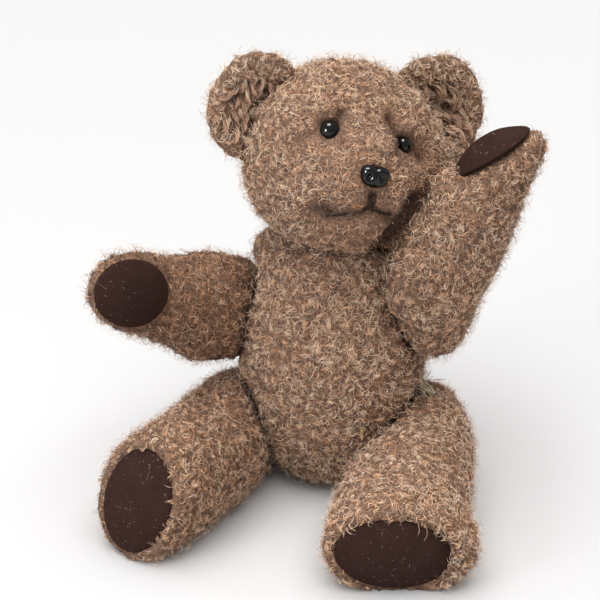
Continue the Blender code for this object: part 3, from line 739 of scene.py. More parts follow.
def face_folds():
    """Each fold of the face and stitch of the mouth: its line, half width and how much painted shade it takes."""
    folds = [(line, wide, deep / (11 * MM)) for line, deep, wide in face_creases()]
    return folds + [(line, 2.0 * MM, 0.30) for line in mouth_lines()]


def fold_shade(points):
    """How much painted shade the folds lay on each point, from 0 to 1."""
    return np.max([dark * bell(near_line(points, line)[0], wide) for line, wide, dark in face_folds()], axis=0)


def more_in_folds(points):
    """How many times as many curls a fold gathers at each point."""
    return 1 + 1.6 * fold_shade(points)


def chin_shade(points):
    """How much painted shade the chin and the muzzle take at each point, from 0 to 1."""
    return bell(near_spot(points, middle("mouth_stitch_centre") - head_axes()[2] * 12 * MM), 23 * MM)


def face_relief(points):
    """How far the head's cover stands out or in at each point, round the eyes, the mouth and the chin."""
    across, _, up = head_axes()
    relief = np.zeros(len(points))
    for line, depth, width in face_creases():
        relief -= depth * bell(near_line(points, line)[0], width)
    for side in ("left", "right"):
        relief -= 2.5 * MM * bell(near_spot(points, middle("eye_" + side)), 7.0 * MM)
    for line in mouth_lines():
        relief -= 7.5 * MM * bell(near_line(points, line)[0], 3.2 * MM)
    # Each: the node that it lies by, how far across and up from there, its height and its size, all in mm
    spots = (
        ("mouth_stitch_centre", -3, -15, 11.0, 11),
        ("mouth_stitch_centre", -13, 2, 4.0, 9),
        ("mouth_stitch_centre", 11, 3, 4.0, 9),
        ("eye_left", -10, 0, 3.5, 6),
        ("eye_left", 2, 10, 3.0, 6),
        ("eye_right", -2, 10, 3.5, 6),
    )
    for node, a, u, height, size in spots:
        relief += height * MM * bell(near_spot(points, middle(node) + up * u * MM + across * a * MM), size * MM)
    return relief


def ear_relief(points, outward, name):
    """How far an ear's cover stands out at its rim, or is sunk in its front."""
    forward = head_ways()[1]
    inner = np.clip(outward @ forward * 2, 0, 1)
    away = np.linalg.norm(points - np.array(middle(name)) - forward * 6 * MM, axis=1)
    thick = {"ear_left": 4.5 * MM, "ear_right": 2.2 * MM}[name]
    return -5.0 * MM * inner * bell(away, 17 * MM) + thick * np.clip(outward @ way_to(name, "head"), 0, 1)


def side_seam(points):
    """The groove of the torso's side seams, which run down from the armpits."""
    low, high = box_of("torso")
    centre = (low + high) / 2
    side = np.abs(points[:, 0] - centre[0]) > 20 * MM
    return -1.8 * MM * bell(points[:, 1] - centre[1] - 2 * MM, 1.8 * MM) * side


def shape_cover(piece, name):
    """Halves the cover's faces and adds its lumps, seams and folds."""
    modify(piece, "SUBSURF", **HALVED)
    points, outward = corners(piece.data), directions(piece.data)
    others = tree_of(neighbours(name) + list(PADS))
    room = room_above(points, outward, others, SEEK)
    free = np.clip(room / (6 * MM), 0, 1)
    relief = COVERS[name][2] * MM + 1.0 * MM * lump_noise(points, 17 * MM, 1) + 0.8 * MM * lump_noise(points, 6 * MM, 2)
    if name == "head":
        relief += face_relief(points)
    if name == "torso":
        relief += side_seam(points)
    if name.startswith("ear"):
        relief += ear_relief(points, outward, name)
    if name.startswith("leg"):
        edge = distances(points, tree_of([name.replace("leg", "foot_pad")]), 30 * MM)
        relief += 3.2 * MM * bell(edge, 13 * MM)
    relief = np.where(relief > 0, relief * free, relief)
    low, high = box_of(name)
    for share, height, size in SHAPING.get(name, ()):
        far = np.linalg.norm(points - low - (high - low) * share, axis=1)
        relief += height * MM * bell(far, size * MM) * np.maximum(free, 0.4)
    points = points + outward * relief[:, None]
    points[:, 2] = np.maximum(points[:, 2], FLOOR_GAP)
    set_corners(piece.data, points)
    smooth(piece.data)


def scatter(mesh, per_area, rng, weight=None):
    """Places spread over a mesh at random by area, with the ways out of it there."""
    mesh.calc_loop_triangles()
    triangles = read(mesh.loop_triangles, "vertices", np.int32, 3)
    points, outward = corners(mesh), directions(mesh)
    a, b, c = (points[triangles[:, i]] for i in range(3))
    area = np.linalg.norm(np.cross(b - a, c - a), axis=1) / 2
    if weight is not None:
        area = area * weight((a + b + c) / 3)
    count = int(area.sum() * per_area)
    chosen = triangles[rng.choice(len(area), count, p=area / area.sum())]
    share = np.sqrt(rng.random((count, 1))), rng.random((count, 1))
    weights = np.concatenate([1 - share[0], share[0] * (1 - share[1]), share[0] * share[1]], axis=1)
    return (points[chosen] * weights[:, :, None]).sum(1), unit((outward[chosen] * weights[:, :, None]).sum(1))


def ribbon_mesh(name, lines, sides, tone):
    """Flat tapering ribbons along lines, each with its tone across the map and its length up it."""
    count, steps = lines.shape[0], lines.shape[1] - 1
    pairs = np.stack([lines[:, :-1] - sides[:, :-1], lines[:, :-1] + sides[:, :-1]], axis=2)
    points = np.concatenate([pairs.reshape(count, 2 * steps, 3), lines[:, -1:]], axis=1)
    each = 2 * steps + 1
    # A ribbon is a row of quads and a triangle at its tip
    ring = [v for j in range(steps - 1) for v in (2 * j, 2 * j + 1, 2 * j + 3, 2 * j + 2)]
    ring = np.array(ring + [2 * steps - 2, 2 * steps - 1, 2 * steps])
    starts = 4 * np.arange(steps)
    mesh = bpy.data.meshes.new(name)
    mesh.vertices.add(count * each)
    mesh.vertices.foreach_set("co", points.astype(np.float32).ravel())
    mesh.loops.add(count * len(ring))
    mesh.loops.foreach_set("vertex_index", (np.arange(count)[:, None] * each + ring).astype(np.int32).ravel())
    mesh.polygons.add(count * steps)
    begins = (np.arange(count)[:, None] * len(ring) + starts).astype(np.int32)
    mesh.polygons.foreach_set("loop_start", begins.ravel())
    smooth(mesh)
    layer = mesh.uv_layers.new(name=MAP)
    across = np.where(ring == 2 * steps, 0, np.where(ring % 2 == 0, -0.004, 0.004))
    up = np.minimum(ring // 2, steps) / steps * 0.96 + 0.02
    spots = np.stack([np.clip(tone, 0.02, 0.98)[:, None] + across, np.broadcast_to(up, (count, len(ring)))], axis=2)
    layer.uv.foreach_set("vector", spots.astype(np.float32).ravel())
    mesh.update(calc_edges=True)
    return mesh


def curl(roots, outward, start, length, lift, turn, width, roll, height, segments=3):
    """Lines and half widths of curls that leave their roots at a lift and turn as they lie down.

    height squeezes each curl towards the cover, where a neighbour presses on it.
    """
    lines, sides = [roots - outward * 0.5 * MM], []
    across = np.cross(outward, start)
    point = lines[0]
    for step in range(segments):
        angle = turn * (step + 0.5)
        flat = start * np.cos(angle)[:, None] + across * np.sin(angle)[:, None]
        rise = lift * (1 - 1.15 * step / (segments - 1))
        move = flat * np.cos(rise)[:, None] + outward * (np.sin(rise) * height)[:, None]
        point = point + move * (length / segments)[:, None]
        lines.append(point)
        side = np.cross(unit(move), outward)
        side = side * np.cos(roll)[:, None] + outward * np.sin(roll)[:, None]
        taper = 1 - 0.55 * (step / segments) ** 1.5
        sides.append(unit(side) * (width * taper / 2)[:, None])
    sides.append(sides[-1])
    return np.stack(lines, axis=1), np.stack(sides, axis=1)


def off_floor(lines, rng):
    """Lays what would reach below the floor on it, in a thin layer."""
    lines[:, :, 2] = np.maximum(lines[:, :, 2], 0.15 * MM + 0.3 * MM * rng.random(len(lines))[:, None])


def tuft_of(points, tops):
    """Which tuft each root belongs to."""
    finder = KDTree(len(tops))
    for i, top in enumerate(tops):
        finder.insert(top, i)
    finder.balance()
    return np.array([finder.find(p)[1] for p in points])


def joint_shade(points, name):
    """How much painted shade the pile takes at each point where a joined cover lies against it, from 0 to 1."""
    gap = gap_to(points, joined_to(name))[0]
    return bell(gap, PRESSED) * (gap > -3 * MM) * (0.35 if name.startswith("ear") else 0.75)


def painted_shade(cover, name):
    """Paints shade on the ground, in the folds and where a neighbour lies against it."""
    points = corners(cover.data)
    dark = joint_shade(points, name)
    if name == "head":
        dark = np.maximum(dark, fold_shade(points))
    cover.data.attributes.new(SHADE_LAYER, "FLOAT", "POINT").data.foreach_set("value", dark.astype(np.float32))


def ear_front(name, roots, outward, reach=27 * MM):
    """Whether each root lies in the cupped front of an ear: 0 or 1."""
    forward = head_ways()[1]
    away = roots - np.array(middle(name))
    across = np.linalg.norm(away - np.outer(away @ forward, forward), axis=1)
    return ((outward @ forward > 0.3) & (across < reach)).astype(float)


def ear_hollow(name, roots, outward):
    """Whether each root lies in the hollow of an ear, inside its rim: 0 or 1."""
    return ear_front(name, roots + way_to(name, "head") * 4 * MM, outward, 21 * MM)


def level_out(roots, outward, name):
    """The ways out of the cover as if its folds weren't there, so that the pile doesn't close them."""
    own = tree_of([name])
    return unit(outward * 0.25 + np.array([own.find_nearest(Vector(p))[1] for p in roots]))


def pile_roots(cover, name, plush, rng):
    """Where the curls of a cover stand: their places, ways out, and how far a pad and a neighbour are."""
    roots, outward = scatter(cover.data, plush.curls * 1e6, rng, more_in_folds if name == "head" else None)
    trim = tree_of([*PADS, "nose"])
    clear = distances(roots, trim, 4 * MM)
    clear[(near_spot(roots, middle("eye_left")) < 4.4 * MM) | (near_spot(roots, middle("eye_right")) < 5.4 * MM)] = 0
    bare = room_above(roots, outward, trim, 2.5 * MM, off=0.05) < 2.4 * MM
    bare &= roots[:, 2] > 2 * MM
    room = room_above(roots, outward, tree_of(neighbours(name)), CURL_SEEK)
    keep = ~bare & (clear > 0.7 * MM) & ((room > 1.5 * MM) | (rng.random(len(roots)) < 0.45))
    roots, outward = roots[keep], outward[keep]
    return roots, level_out(roots, outward, name) if name == "head" else outward, clear[keep], room[keep]


def part(hair, ways, share):
    """Turns a share of each curl's way towards another, and frees it from its lock by as much."""
    hair.way = unit(hair.way * (1 - share) + ways * share)
    hair.pull *= 1 - share[:, 0]


def groom_face(hair, roots):
    """Shortens and parts the pile in the folds, at the mouth and round the eyes and the nose, and darkens it with
    painted shade in the folds, at the mouth, on the chin and round the eyes.
    """
    across, forward, up = head_ways()
    hair.tone = 0.6 + (hair.tone - 0.6) * 0.8
    # Painted shade on the chin and the muzzle
    hair.tone -= 0.50 * chin_shade(roots)
    hair.length *= 1 - 0.2 * bell(near_spot(roots, middle("nose")), 45 * MM, 4)
    for line, wide, dark in face_folds():
        fold, aside = near_line(roots, line)
        inside = bell(fold, wide, 2.5)
        # Painted shade in each fold and along each stitch
        hair.tone -= (0.45 + 0.5 * dark) * inside
        hair.width *= 1 + 0.8 * inside
        hair.lift *= 1 - 0.6 * inside
        hair.length *= np.clip(fold / (2 * wide), 0.6, 1)
        beside = aside * (1 - inside[:, None]) + np.cross(aside, forward) * inside[:, None]
        part(hair, beside, np.clip(2.0 - fold / (2 * wide), 0, 1)[:, None])
    for side in ("left", "right"):
        spot = middle("eye_" + side) + head_axes()[2] * 2.0 * MM
        rim, aside = near_line(roots, [spot, spot])
        # Painted shade round each eye, as in a sunk socket
        hair.tone -= 0.7 * bell(rim, 8.5 * MM, 4)
        near = np.clip(2.2 - rim / (5 * MM), 0, 1)
        above = (aside @ up > 0.1) | ((side == "left") & (aside @ across < -0.3))
        over, apart = (near * above)[:, None], (near * 0.7 * ~above)[:, None]
        hang = across * (0.5 if side == "left" else 0) - up
        hair.way = unit(hair.way * (1 - over - apart) + hang * over + aside * apart)
        hair.lift += 0.35 * over[:, 0]
        hair.pull *= 1 - (over + apart)[:, 0]
    bridge = np.linalg.norm(roots - np.array((middle("nose") * 2 + middle("eye_right")) / 3), axis=1)
    hair.russet += 0.22 * bell(bridge, 12 * MM)


def grow_pile(cover, name, plush, material, seed):
    """The curly pile of one cover: fine curls that close up into matted locks."""
    rng = np.random.default_rng(seed)
    painted_shade(cover, name)
    roots, outward, clear, room = pile_roots(cover, name, plush, rng)
    count = len(roots)

    # The locks that the pile is matted into: where each stands, its way, length, lift and bend
    tops, tops_out = scatter(cover.data, 1 / plush.tuft_spacing**2, rng)
    lock_way = any_way(tops_out, rng)
    lock_length = plush.pile_length * rng.uniform(0.8, 1.25, len(tops))
    lock_lift = rng.uniform(0.45, 1.1, len(tops))
    lock_bend = rng.choice([-1.0, 1.0], len(tops)) * rng.uniform(0.4, 1.1, len(tops))
    lock = tuft_of(roots, tops)
    far = np.clip(np.linalg.norm(roots - tops[lock], axis=1) / (0.62 * plush.tuft_spacing), 0, 1.3)

    # Each curl follows its lock, more or less
    hair = SimpleNamespace(russet=0.018 * np.ones(count))
    hair.way = turned(flattened(lock_way[lock], outward), outward, rng.normal(0, 0.6, count))
    hair.length = lock_length[lock] * rng.uniform(0.65, 1.15, count) * (1.08 - 0.22 * far)
    hair.length *= 1 + 0.15 * lump_noise(roots, 30 * MM, 5)
    hair.lift = np.clip(lock_lift[lock] + rng.normal(0, 0.2, count), 0.2, 1.3)
    bend = lock_bend[lock] + rng.normal(0, 0.4, count)
    hair.width = plush.curl_width * rng.uniform(0.5, 1.25, count)
    hair.pull = rng.uniform(0.4, 0.85, count)
    hair.tone = 0.62 + 0.08 * lump_noise(roots, 24 * MM, 7) + 0.12 * lump_noise(roots, 6 * MM, 8)
    # A random tone for each lock and curl, and painted shade in the gaps between the locks
    hair.tone += rng.normal(0, 0.07, len(tops))[lock] + rng.normal(0, 0.08, count) - 0.23 * (far - 0.55)
    # Painted shade over the whole of some covers
    hair.tone -= COVER_SHADE.get(name, 0)

    # Where a neighbour lies against it, it is darkened with painted shade, short and pushed aside
    gap, aside = gap_to(roots, neighbours(name, ears=False))
    hair.tone -= 0.95 * joint_shade(roots, name)
    hair.length *= 1 - 0.35 * bell(gap, PRESSED)
    part(hair, flattened(aside, outward), 0.8 * np.clip(1.5 - gap / (6 * MM), 0, 1)[:, None])
    hair.length *= np.clip(0.5 + clear / (5 * MM), 0.55, 1)
    if name == "head":
        groom_face(hair, roots)
    if name.startswith("ear"):
        inner = np.maximum(0.15 * ear_front(name, roots, outward), ear_hollow(name, roots, outward))
        # Painted shade in the ear's hollow, and a little in its cupped front; the rest of the ear's pile is drawn
        # lighter
        hair.tone += 0.14 - 0.42 * inner
        hair.length *= 1 - 0.5 * inner

    tone = np.clip(hair.tone, 0.06, PALEST)
    tone = np.where(rng.random(count) < hair.russet, RUSSET, tone)
    tone = np.where(rng.random(count) < 0.015, WHITE, tone)
    length, width = hair.length, hair.width
    height = np.clip(room / (length * 0.62), 0.03, 1)
    roll = rng.normal(0, 0.5, count)
    lines, sides = curl(roots, outward, hair.way, length, hair.lift, bend, width, roll, height)
    stem = tops[lock], tops_out[lock], lock_way[lock], length, lock_lift[lock], lock_bend[lock]
    spine, _ = curl(*stem, width, bend * 0, height)
    lines += (spine - lines) * (hair.pull[:, None] * (np.arange(4) / 3))[:, :, None]
    off_floor(lines, rng)
    strands(name + "_pile", COVERS[name][0], lines, sides, tone, material)


def strands(name, body, lines, sides, tone, material):
    """Makes a piece of ribbons that rides on a body."""
    fit(new_object(name, ribbon_mesh(name, lines, sides, tone)), material, body)


def grow_frizz(cover, name, plush, material, seed):
    """Long, thin, pale fibres that have worked loose and curl over the pile."""
    rng = np.random.default_rng(seed)
    roots, outward = scatter(cover.data, plush.frizz * 1e6, rng)
    trim = tree_of([*PADS, "eye_left", "eye_right", "nose", "mouth_stitch_left", "mouth_stitch_right"])
    room = room_above(roots, outward, tree_of(neighbours(name)), CURL_SEEK)
    gap, aside = gap_to(roots, neighbours(name, ears=False))
    keep = (distances(roots, trim, 6 * MM) > 4 * MM) & (room > 2.5 * MM) & (gap > 5 * MM)
    hair = SimpleNamespace(way=any_way(outward, rng), pull=np.ones(len(roots)))
    part(hair, flattened(aside, outward), np.clip(1.8 - gap / (5 * MM), 0, 1)[:, None])
    if name == "head":
        zones = [(line, wide + 4 * MM) for line, _, wide in face_creases()]
        zones += [(line, 6 * MM) for line in mouth_lines()]
        zones += [([middle(n)] * 2, 9 * MM) for n in ("eye_left", "eye_right", "nose", "mouth_stitch_centre")]
        for line, reach in zones:
            far, aside = near_line(roots, line)
            keep &= far > reach
            part(hair, aside, np.clip(2.6 - far / (6 * MM), 0, 1)[:, None])
    roots, outward, room, way = roots[keep], outward[keep], room[keep], hair.way[keep]
    count = len(roots)
    length = plush.frizz_length * rng.uniform(0.6, 1.3, count)
    lift = rng.uniform(0.7, 1.15, count)
    bend = rng.choice([-1.0, 1.0], count) * rng.uniform(0.25, 0.95, count)
    width = plush.curl_width * rng.uniform(0.3, 0.6, count)
    height = np.clip(room / (length * 0.5), 0.05, 1)
    lines, sides = curl(roots, outward, way, length, lift, bend, width, rng.normal(0, 0.5, count), height, 5)
    lines += outward[:, None] * (np.minimum(1.2 * MM, room * 0.3))[:, None, None]
    off_floor(lines, rng)
    # Painted shade: the frizz is drawn darker over the whole of some covers, and on the chin
    tone = rng.normal(0.77, 0.10, count) - COVER_SHADE.get(name, 0)
    if name == "head":
        tone -= 0.05 + 0.25 * chin_shade(roots)
    tone = np.clip(tone, 0.3, PALEST)
    tone = np.where(rng.random(count) < 0.05, RUSSET, np.where(rng.random(count) < 0.04, WHITE, tone))
    strands(name + "_frizz", COVERS[name][0], lines, sides, tone, material)


def twist_locks(cover, name, plush, material, seed):
    """Rope-like locks that hang in the cupped front of an ear, each a bundle of fibres twisted round its middle."""
    rng = np.random.default_rng(seed)
    fibres, segments, apart, thick = 44, 5, 4.8 * MM, 1.3 * MM
    up, rim = head_ways()[2], way_to(name, "head")
    tops, outward = scatter(cover.data, 0.25e6, rng)
    inside = ear_hollow(name, tops, outward) > 0
    tops, outward = tops[inside], outward[inside]
    chosen = []
    for i, top in enumerate(tops):
        if all(np.linalg.norm(top - tops[j]) > apart for j in chosen):
            chosen.append(i)
    tops, outward = tops[chosen], outward[chosen]
    many = len(tops)
    way = flattened(rim * (rim @ up) - up + rng.normal(0, 0.22, (many, 3)), outward)
    length = plush.lock_length * rng.uniform(0.7, 1.15, many)
    lift, bend = rng.uniform(0.5, 0.8, many), rng.normal(0, 0.12, many)
    spine, _ = curl(tops, outward, way, length, lift, bend, length * 0.1, length * 0, np.ones(many), segments)
    along = np.arange(segments + 1) / segments
    along_way = unit(np.gradient(spine, axis=1))
    first = unit(np.cross(along_way, outward[:, None]))
    second = np.cross(first, along_way)
    # Two strands wind round the middle, and the fibres round the strands
    wound = rng.uniform(0, 2 * math.pi, (many, 1, 1)) + 5.0 * along
    wound = wound + math.pi * (np.arange(fibres) % 2)[:, None]
    spread = rng.uniform(0, 2 * math.pi, (many, fibres, 1)) + 3.0 * along
    reach = np.sqrt(rng.random((many, fibres, 1))) * thick * rng.uniform(0.7, 1.3, wound.shape)
    out = thick * np.sin(wound) + reach * np.sin(spread)
    lines = (spine + outward[:, None] * 1.5 * MM)[:, None]
    lines = lines + first[:, None] * (thick * np.cos(wound) + reach * np.cos(spread))[..., None]
    lines = lines + second[:, None] * out[..., None]
    slip = along_way[:, None] * (rng.uniform(-2.5, 2.5, (many, fibres, 1, 1)) * MM)
    lines = (lines + slip).reshape(-1, segments + 1, 3)
    count = len(lines)
    outer = np.repeat(outward, fibres, axis=0)
    tangent = unit(np.gradient(lines, axis=1))
    sides = unit(np.cross(tangent, outer[:, None])) * (rng.uniform(0.10, 0.24, (count, 1, 1)) * MM)
    height = ((second[:, None] * out[..., None]).reshape(count, -1, 3)[:, 2] * outer).sum(1) / (1.8 * MM)
    # Painted light and shade: a fibre is drawn lighter where it stands farther out of the ear, darker deeper in
    tone = 0.33 + 0.23 * height + rng.normal(0, 0.12, count) + np.repeat(rng.normal(0, 0.05, many), fibres)
    strands(name + "_locks", "head", lines, sides, np.clip(tone, 0.02, PALEST), material)


class TEDDY_OT_covers(bpy.types.Operator):
    """Make the stuffed plush covers of the torso, head, ears, arms and legs"""

    bl_idname = "teddy.covers"
    bl_label = "Make Covers"

    def execute(self, context):
        material = plush_ground_material(context.scene.teddy_plush)
        pieces = {name: new_cover(name) for name in COVERS}
        stuff(list(pieces.values()))
        for name, piece in pieces.items():
            keep_in_place(piece, name)
            shape_cover(piece, name)
            fit(piece, material, COVERS[name][0], name)
        return {"FINISHED"}


class TEDDY_OT_pile(bpy.types.Operator):
    """Grow the curly pile on each cover"""

    bl_idname = "teddy.pile"
    bl_label = "Grow Pile"

    def execute(self, context):
        plush = context.scene.teddy_plush
        material = plush_pile_material(plush, "plush_pile_curled_wool")
        matted = plush_pile_material(plush, "plush_locks_matted_wool", faded=0.18)
        for seed, name in enumerate(COVERS):
            cover = bpy.data.objects[name + "_cover"]
            grow_pile(cover, name, plush, material, 40 + seed)
            grow_frizz(cover, name, plush, material, 50 + seed)
            if name.startswith("ear"):
                twist_locks(cover, name, plush, matted, 60 + seed)
        return {"FINISHED"}


class TEDDY_OT_pads(bpy.types.Operator):
    """Make the felt paw and foot pads, with the lint on them"""

    bl_idname = "teddy.pads"
    bl_label = "Make Felt Pads"

    def execute(self, context):
        trim = context.scene.teddy_trim
        felt = felt_material(trim)
        lint = fibre_material("lint_loose_wool", trim.lint)
        for seed, (name, body) in enumerate(PADS.items()):
            piece = copy_of(name, name + "_felt")
            modify(piece, "SUBSURF", **HALVED)
            points, outward = corners(piece.data), directions(piece.data)
            dents = 0.22 * MM * lump_noise(points, 9 * MM, 11) - 0.1 * MM
            points += outward * dents[:, None]
            crown = 1.2 * MM
            if name == "paw_pad_left":
                points = points.mean(0) + (points - points.mean(0)) * 1.03 + np.array([-3.5, 0, 0.5]) * MM
                crown = 4.0 * MM
            away = points - points.mean(0)
            flat = np.linalg.svd(away, full_matrices=False)[2][2]
            flat = flat * np.sign(flat @ (points.mean(0) - np.array(middle(body))))
            reach = np.linalg.norm(away - np.outer(away @ flat, flat), axis=1)
            points += np.outer(crown * (1 - (reach / reach.max()) ** 2), flat)
            set_corners(piece.data, points)
            smooth(piece.data)
            fit(piece, felt, body, name)
            self.add_lint(piece, name, body, lint, trim, 70 + seed)
        return {"FINISHED"}

    def add_lint(self, felt, name, body, material, trim, seed):
        rng = np.random.default_rng(seed)
        roots, outward = scatter(felt.data, 0.022e6, rng)
        facing = outward @ way_to(name, body) > 0.3
        roots, outward = roots[facing], outward[facing]
        count = len(roots)
        start = any_way(outward, rng)
        length = trim.lint_length * rng.gamma(2.0, 0.35, count)
        lift, bend = rng.uniform(0, 0.35, count), rng.normal(0, 0.4, count)
        width = rng.uniform(0.07, 0.18, count) * MM
        flat, full = np.zeros(count), np.ones(count)
        lines, sides = curl(roots + outward * 0.5 * MM, outward, start, length, lift, bend, width, flat, full)
        lines += outward[:, None] * 0.15 * MM
        strands(name + "_lint", body, lines, sides, rng.random(count), material)


def smooth_copy(name, node, voxel, rounds):
    """A finely faceted and smoothed copy of a small CAD node."""
    piece = new_object(name, frame["nodes"][node].data.copy())
    modify(piece, "REMESH", mode="VOXEL", voxel_size=voxel)
    modify(piece, "SMOOTH", factor=0.5, iterations=rounds)
    smooth(piece.data)
    return piece


class TEDDY_OT_eyes(bpy.types.Operator):
    """Make the glossy button eyes"""

    bl_idname = "teddy.eyes"
    bl_label = "Make Eyes"

    def execute(self, context):
        material = moulded_material(context.scene.teddy_trim, "eye_moulded_abs")
        across = head_ways()[0]
        # The left eye is pinched by its fold: smaller, narrower and nearer to the side of the head
        for side, size, aside, narrowed in (("left", 1.06, 1.6 * MM, 0.12), ("right", 1.16, 0.0, 0.0)):
            node = "eye_" + side
            piece = smooth_copy(node + "_button", node, 0.55 * MM, 4)
            centre = np.array(middle(node))
            away = (corners(piece.data) - centre) * size
            away -= np.outer(away @ across, across) * narrowed
            set_corners(piece.data, centre + away + (way_to("head", node) * 4.8 * MM + across * aside))
            fit(piece, material, "head", node)
        return {"FINISHED"}


class TEDDY_OT_nose(bpy.types.Operator):
    """Make the moulded nose: broad above, with two lobes, a flat foot and two shallow nostrils"""

    bl_idname = "teddy.nose"
    bl_label = "Make Nose"

    def execute(self, context):
        piece = smooth_copy("nose_button", "nose", 0.55 * MM, 5)
        across, forward, up = head_ways()
        centre = np.array(middle("nose"))
        away = corners(piece.data) - centre + up * 1.0 * MM
        a, u, f = away @ across, away @ up, away @ forward
        angle, reach = np.degrees(np.arctan2(u, a)) % 360, np.hypot(a, u)
        # The rim's distance from the middle, from the bear's left by way of the top, every 30 degrees
        rim = np.array([9.2, 9.9, 8.0, 6.0, 8.0, 9.9, 9.2, 8.6, 7.2, 6.4, 7.2, 8.6, 9.2]) * MM
        wanted = np.interp(angle, np.arange(0, 361, 30), rim)
        slot = (angle // 10).astype(int)
        widest = np.array([reach[slot == k].max() if (slot == k).any() else 8 * MM for k in range(36)])
        widest = (np.roll(widest, 1) + widest + np.roll(widest, -1)) / 3
        scale = wanted / np.interp(angle, np.arange(5, 360, 10), widest, period=360)
        a, u = a * scale, u * scale
        for side in (-1, 1):
            f -= 1.4 * MM * bell(np.hypot(a - side * 3.9 * MM, u + 0.6 * MM), 1.9 * MM) * (f > 0)
        f -= 0.9 * MM * bell(a, 1.6 * MM) * np.clip(u / (4 * MM), 0, 1) * (f > 0)
        centre = centre + up * 1.6 * MM - across * 0.8 * MM
        set_corners(piece.data, centre + np.outer(a, across) + np.outer(u, up) + np.outer(f, forward))
        modify(piece, "SMOOTH", **RELAXED)
        fit(piece, moulded_material(context.scene.teddy_trim, "nose_moulded_abs"), "head", "nose")
        return {"FINISHED"}


class TEDDY_OT_mouth(bpy.types.Operator):
    """Make the mouth's three long stitches, pulled down into the pile"""

    bl_idname = "teddy.mouth"
    bl_label = "Make Mouth"

    def execute(self, context):
        material = thread_material(context.scene.teddy_trim)
        across, forward, _ = head_ways()
        for side, depth in (("centre", 0.8 * MM), ("left", 2.2 * MM), ("right", 2.8 * MM)):
            node = "mouth_stitch_" + side
            piece = new_object(node + "_thread", frame["nodes"][node].data.copy())
            modify(piece, "SUBSURF", **HALVED)
            points = corners(piece.data)
            if side == "centre":
                points += np.outer((points - points.mean(0)) @ across, across) * 0.5
            set_corners(piece.data, points - forward * depth)
            smooth(piece.data)
            fit(piece, material, "head", node)
        return {"FINISHED"}


def finish_nodes(ends, material):
    """Gives a material to each CAD node whose name ends in one of these words."""
    found = [node for name, node in frame["nodes"].items() if name.endswith(ends)]
    if not found:
        raise RuntimeError(f"no node ends in {ends}")
    for node in found:
        node.data.materials.clear()
        node.data.materials.append(material)


class TEDDY_OT_fastenings(bpy.types.Operator):
    """Finish the hidden discs, washers and pins"""

    bl_idname = "teddy.fastenings"
    bl_label = "Finish Fastenings"

    def execute(self, context):
        finish_nodes(("_disc",), fibreboard_material())
        finish_nodes(("_washer", "_cotter_pin"), steel_material())
        return {"FINISHED"}


def loose_thread(name, places, radius):
    """A thread on a smooth curve through some places."""
    data = bpy.data.curves.new(name, "CURVE")
    put(data, dimensions="3D", bevel_depth=radius, bevel_resolution=2, use_fill_caps=True)
    spline = data.splines.new("BEZIER")
    spline.bezier_points.add(len(places) - 1)
    for point, place in zip(spline.bezier_points, places):
        put(point, co=place, handle_left_type="AUTO", handle_right_type="AUTO")
    return new_object(name, data)


class TEDDY_OT_label(bpy.types.Operator):
    """Make what is left of the label, and the threads frayed out of the side seam"""

    bl_idname = "teddy.label"
    bl_label = "Make Label Stub"

    def execute(self, context):
        trim = context.scene.teddy_trim
        low, high = (Vector(c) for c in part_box("label_stub"))
        centre, tall = (low + high) / 2, high.z - low.z
        outward = Vector((centre.x, centre.y, 0)).normalized()
        aside = Vector((-outward.y, outward.x, 0))
        columns, rows = 8, 14
        points, faces = [], []
        # A strip that leaves the seam, bends aside and ends in a ragged cut
        for i in range(columns + 1):
            out = -1.5 * MM + 7.0 * MM * i / columns
            for j in range(rows + 1):
                ragged = 0.9 * MM * math.sin(j * 2.1) * (i / columns) ** 3
                bend = 0.035 * (out / MM) ** 2 * MM + 0.25 * MM * math.sin(j * 0.8 + i * 0.5)
                rise = (j / rows - 0.5) * tall * (1 - 0.18 * i / columns)
                points.append(centre + outward * (out + ragged) + aside * bend + Vector((0, 0, rise)))
                if i < columns and j < rows:
                    a = i * (rows + 1) + j
                    faces.append((a, a + 1, a + rows + 2, a + rows + 1))
        mesh = bpy.data.meshes.new("label_tape")
        mesh.from_pydata(points, [], faces)
        piece = new_object("label_tape", mesh)
        modify(piece, "SOLIDIFY", thickness=0.35 * MM, offset=0)
        fit(piece, tape_material(trim), "torso", "label_stub")
        self.fray(fibre_material("thread_frayed_cotton", trim.fray))
        return {"FINISHED"}

    def fray(self, material):
        """Threads that stand out of the seam between the torso's left side and the thigh."""
        low, high = (Vector(c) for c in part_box("torso"))
        rng = np.random.default_rng(90)
        surface = tree_of([], ["torso"])
        spot = Vector((high.x - 4 * MM, (low.y + high.y) / 2 - 10 * MM, low.z + 70 * MM))
        for number in range(14):
            places = [surface.find_nearest(spot + Vector(rng.uniform(-5, 5, 3) * MM))[0]]
            way = Vector((1.0, -0.6, 0.25)) + Vector(rng.uniform(-0.5, 0.5, 3))
            for _ in range(5):
                places.append(places[-1] + way.normalized() * 3.0 * MM)
                way += Vector(rng.uniform(-0.7, 0.7, 3)) + Vector((0, 0, -0.25))
            fit(loose_thread(f"seam_thread_{number + 1}", places, 0.32 * MM), material, "torso")


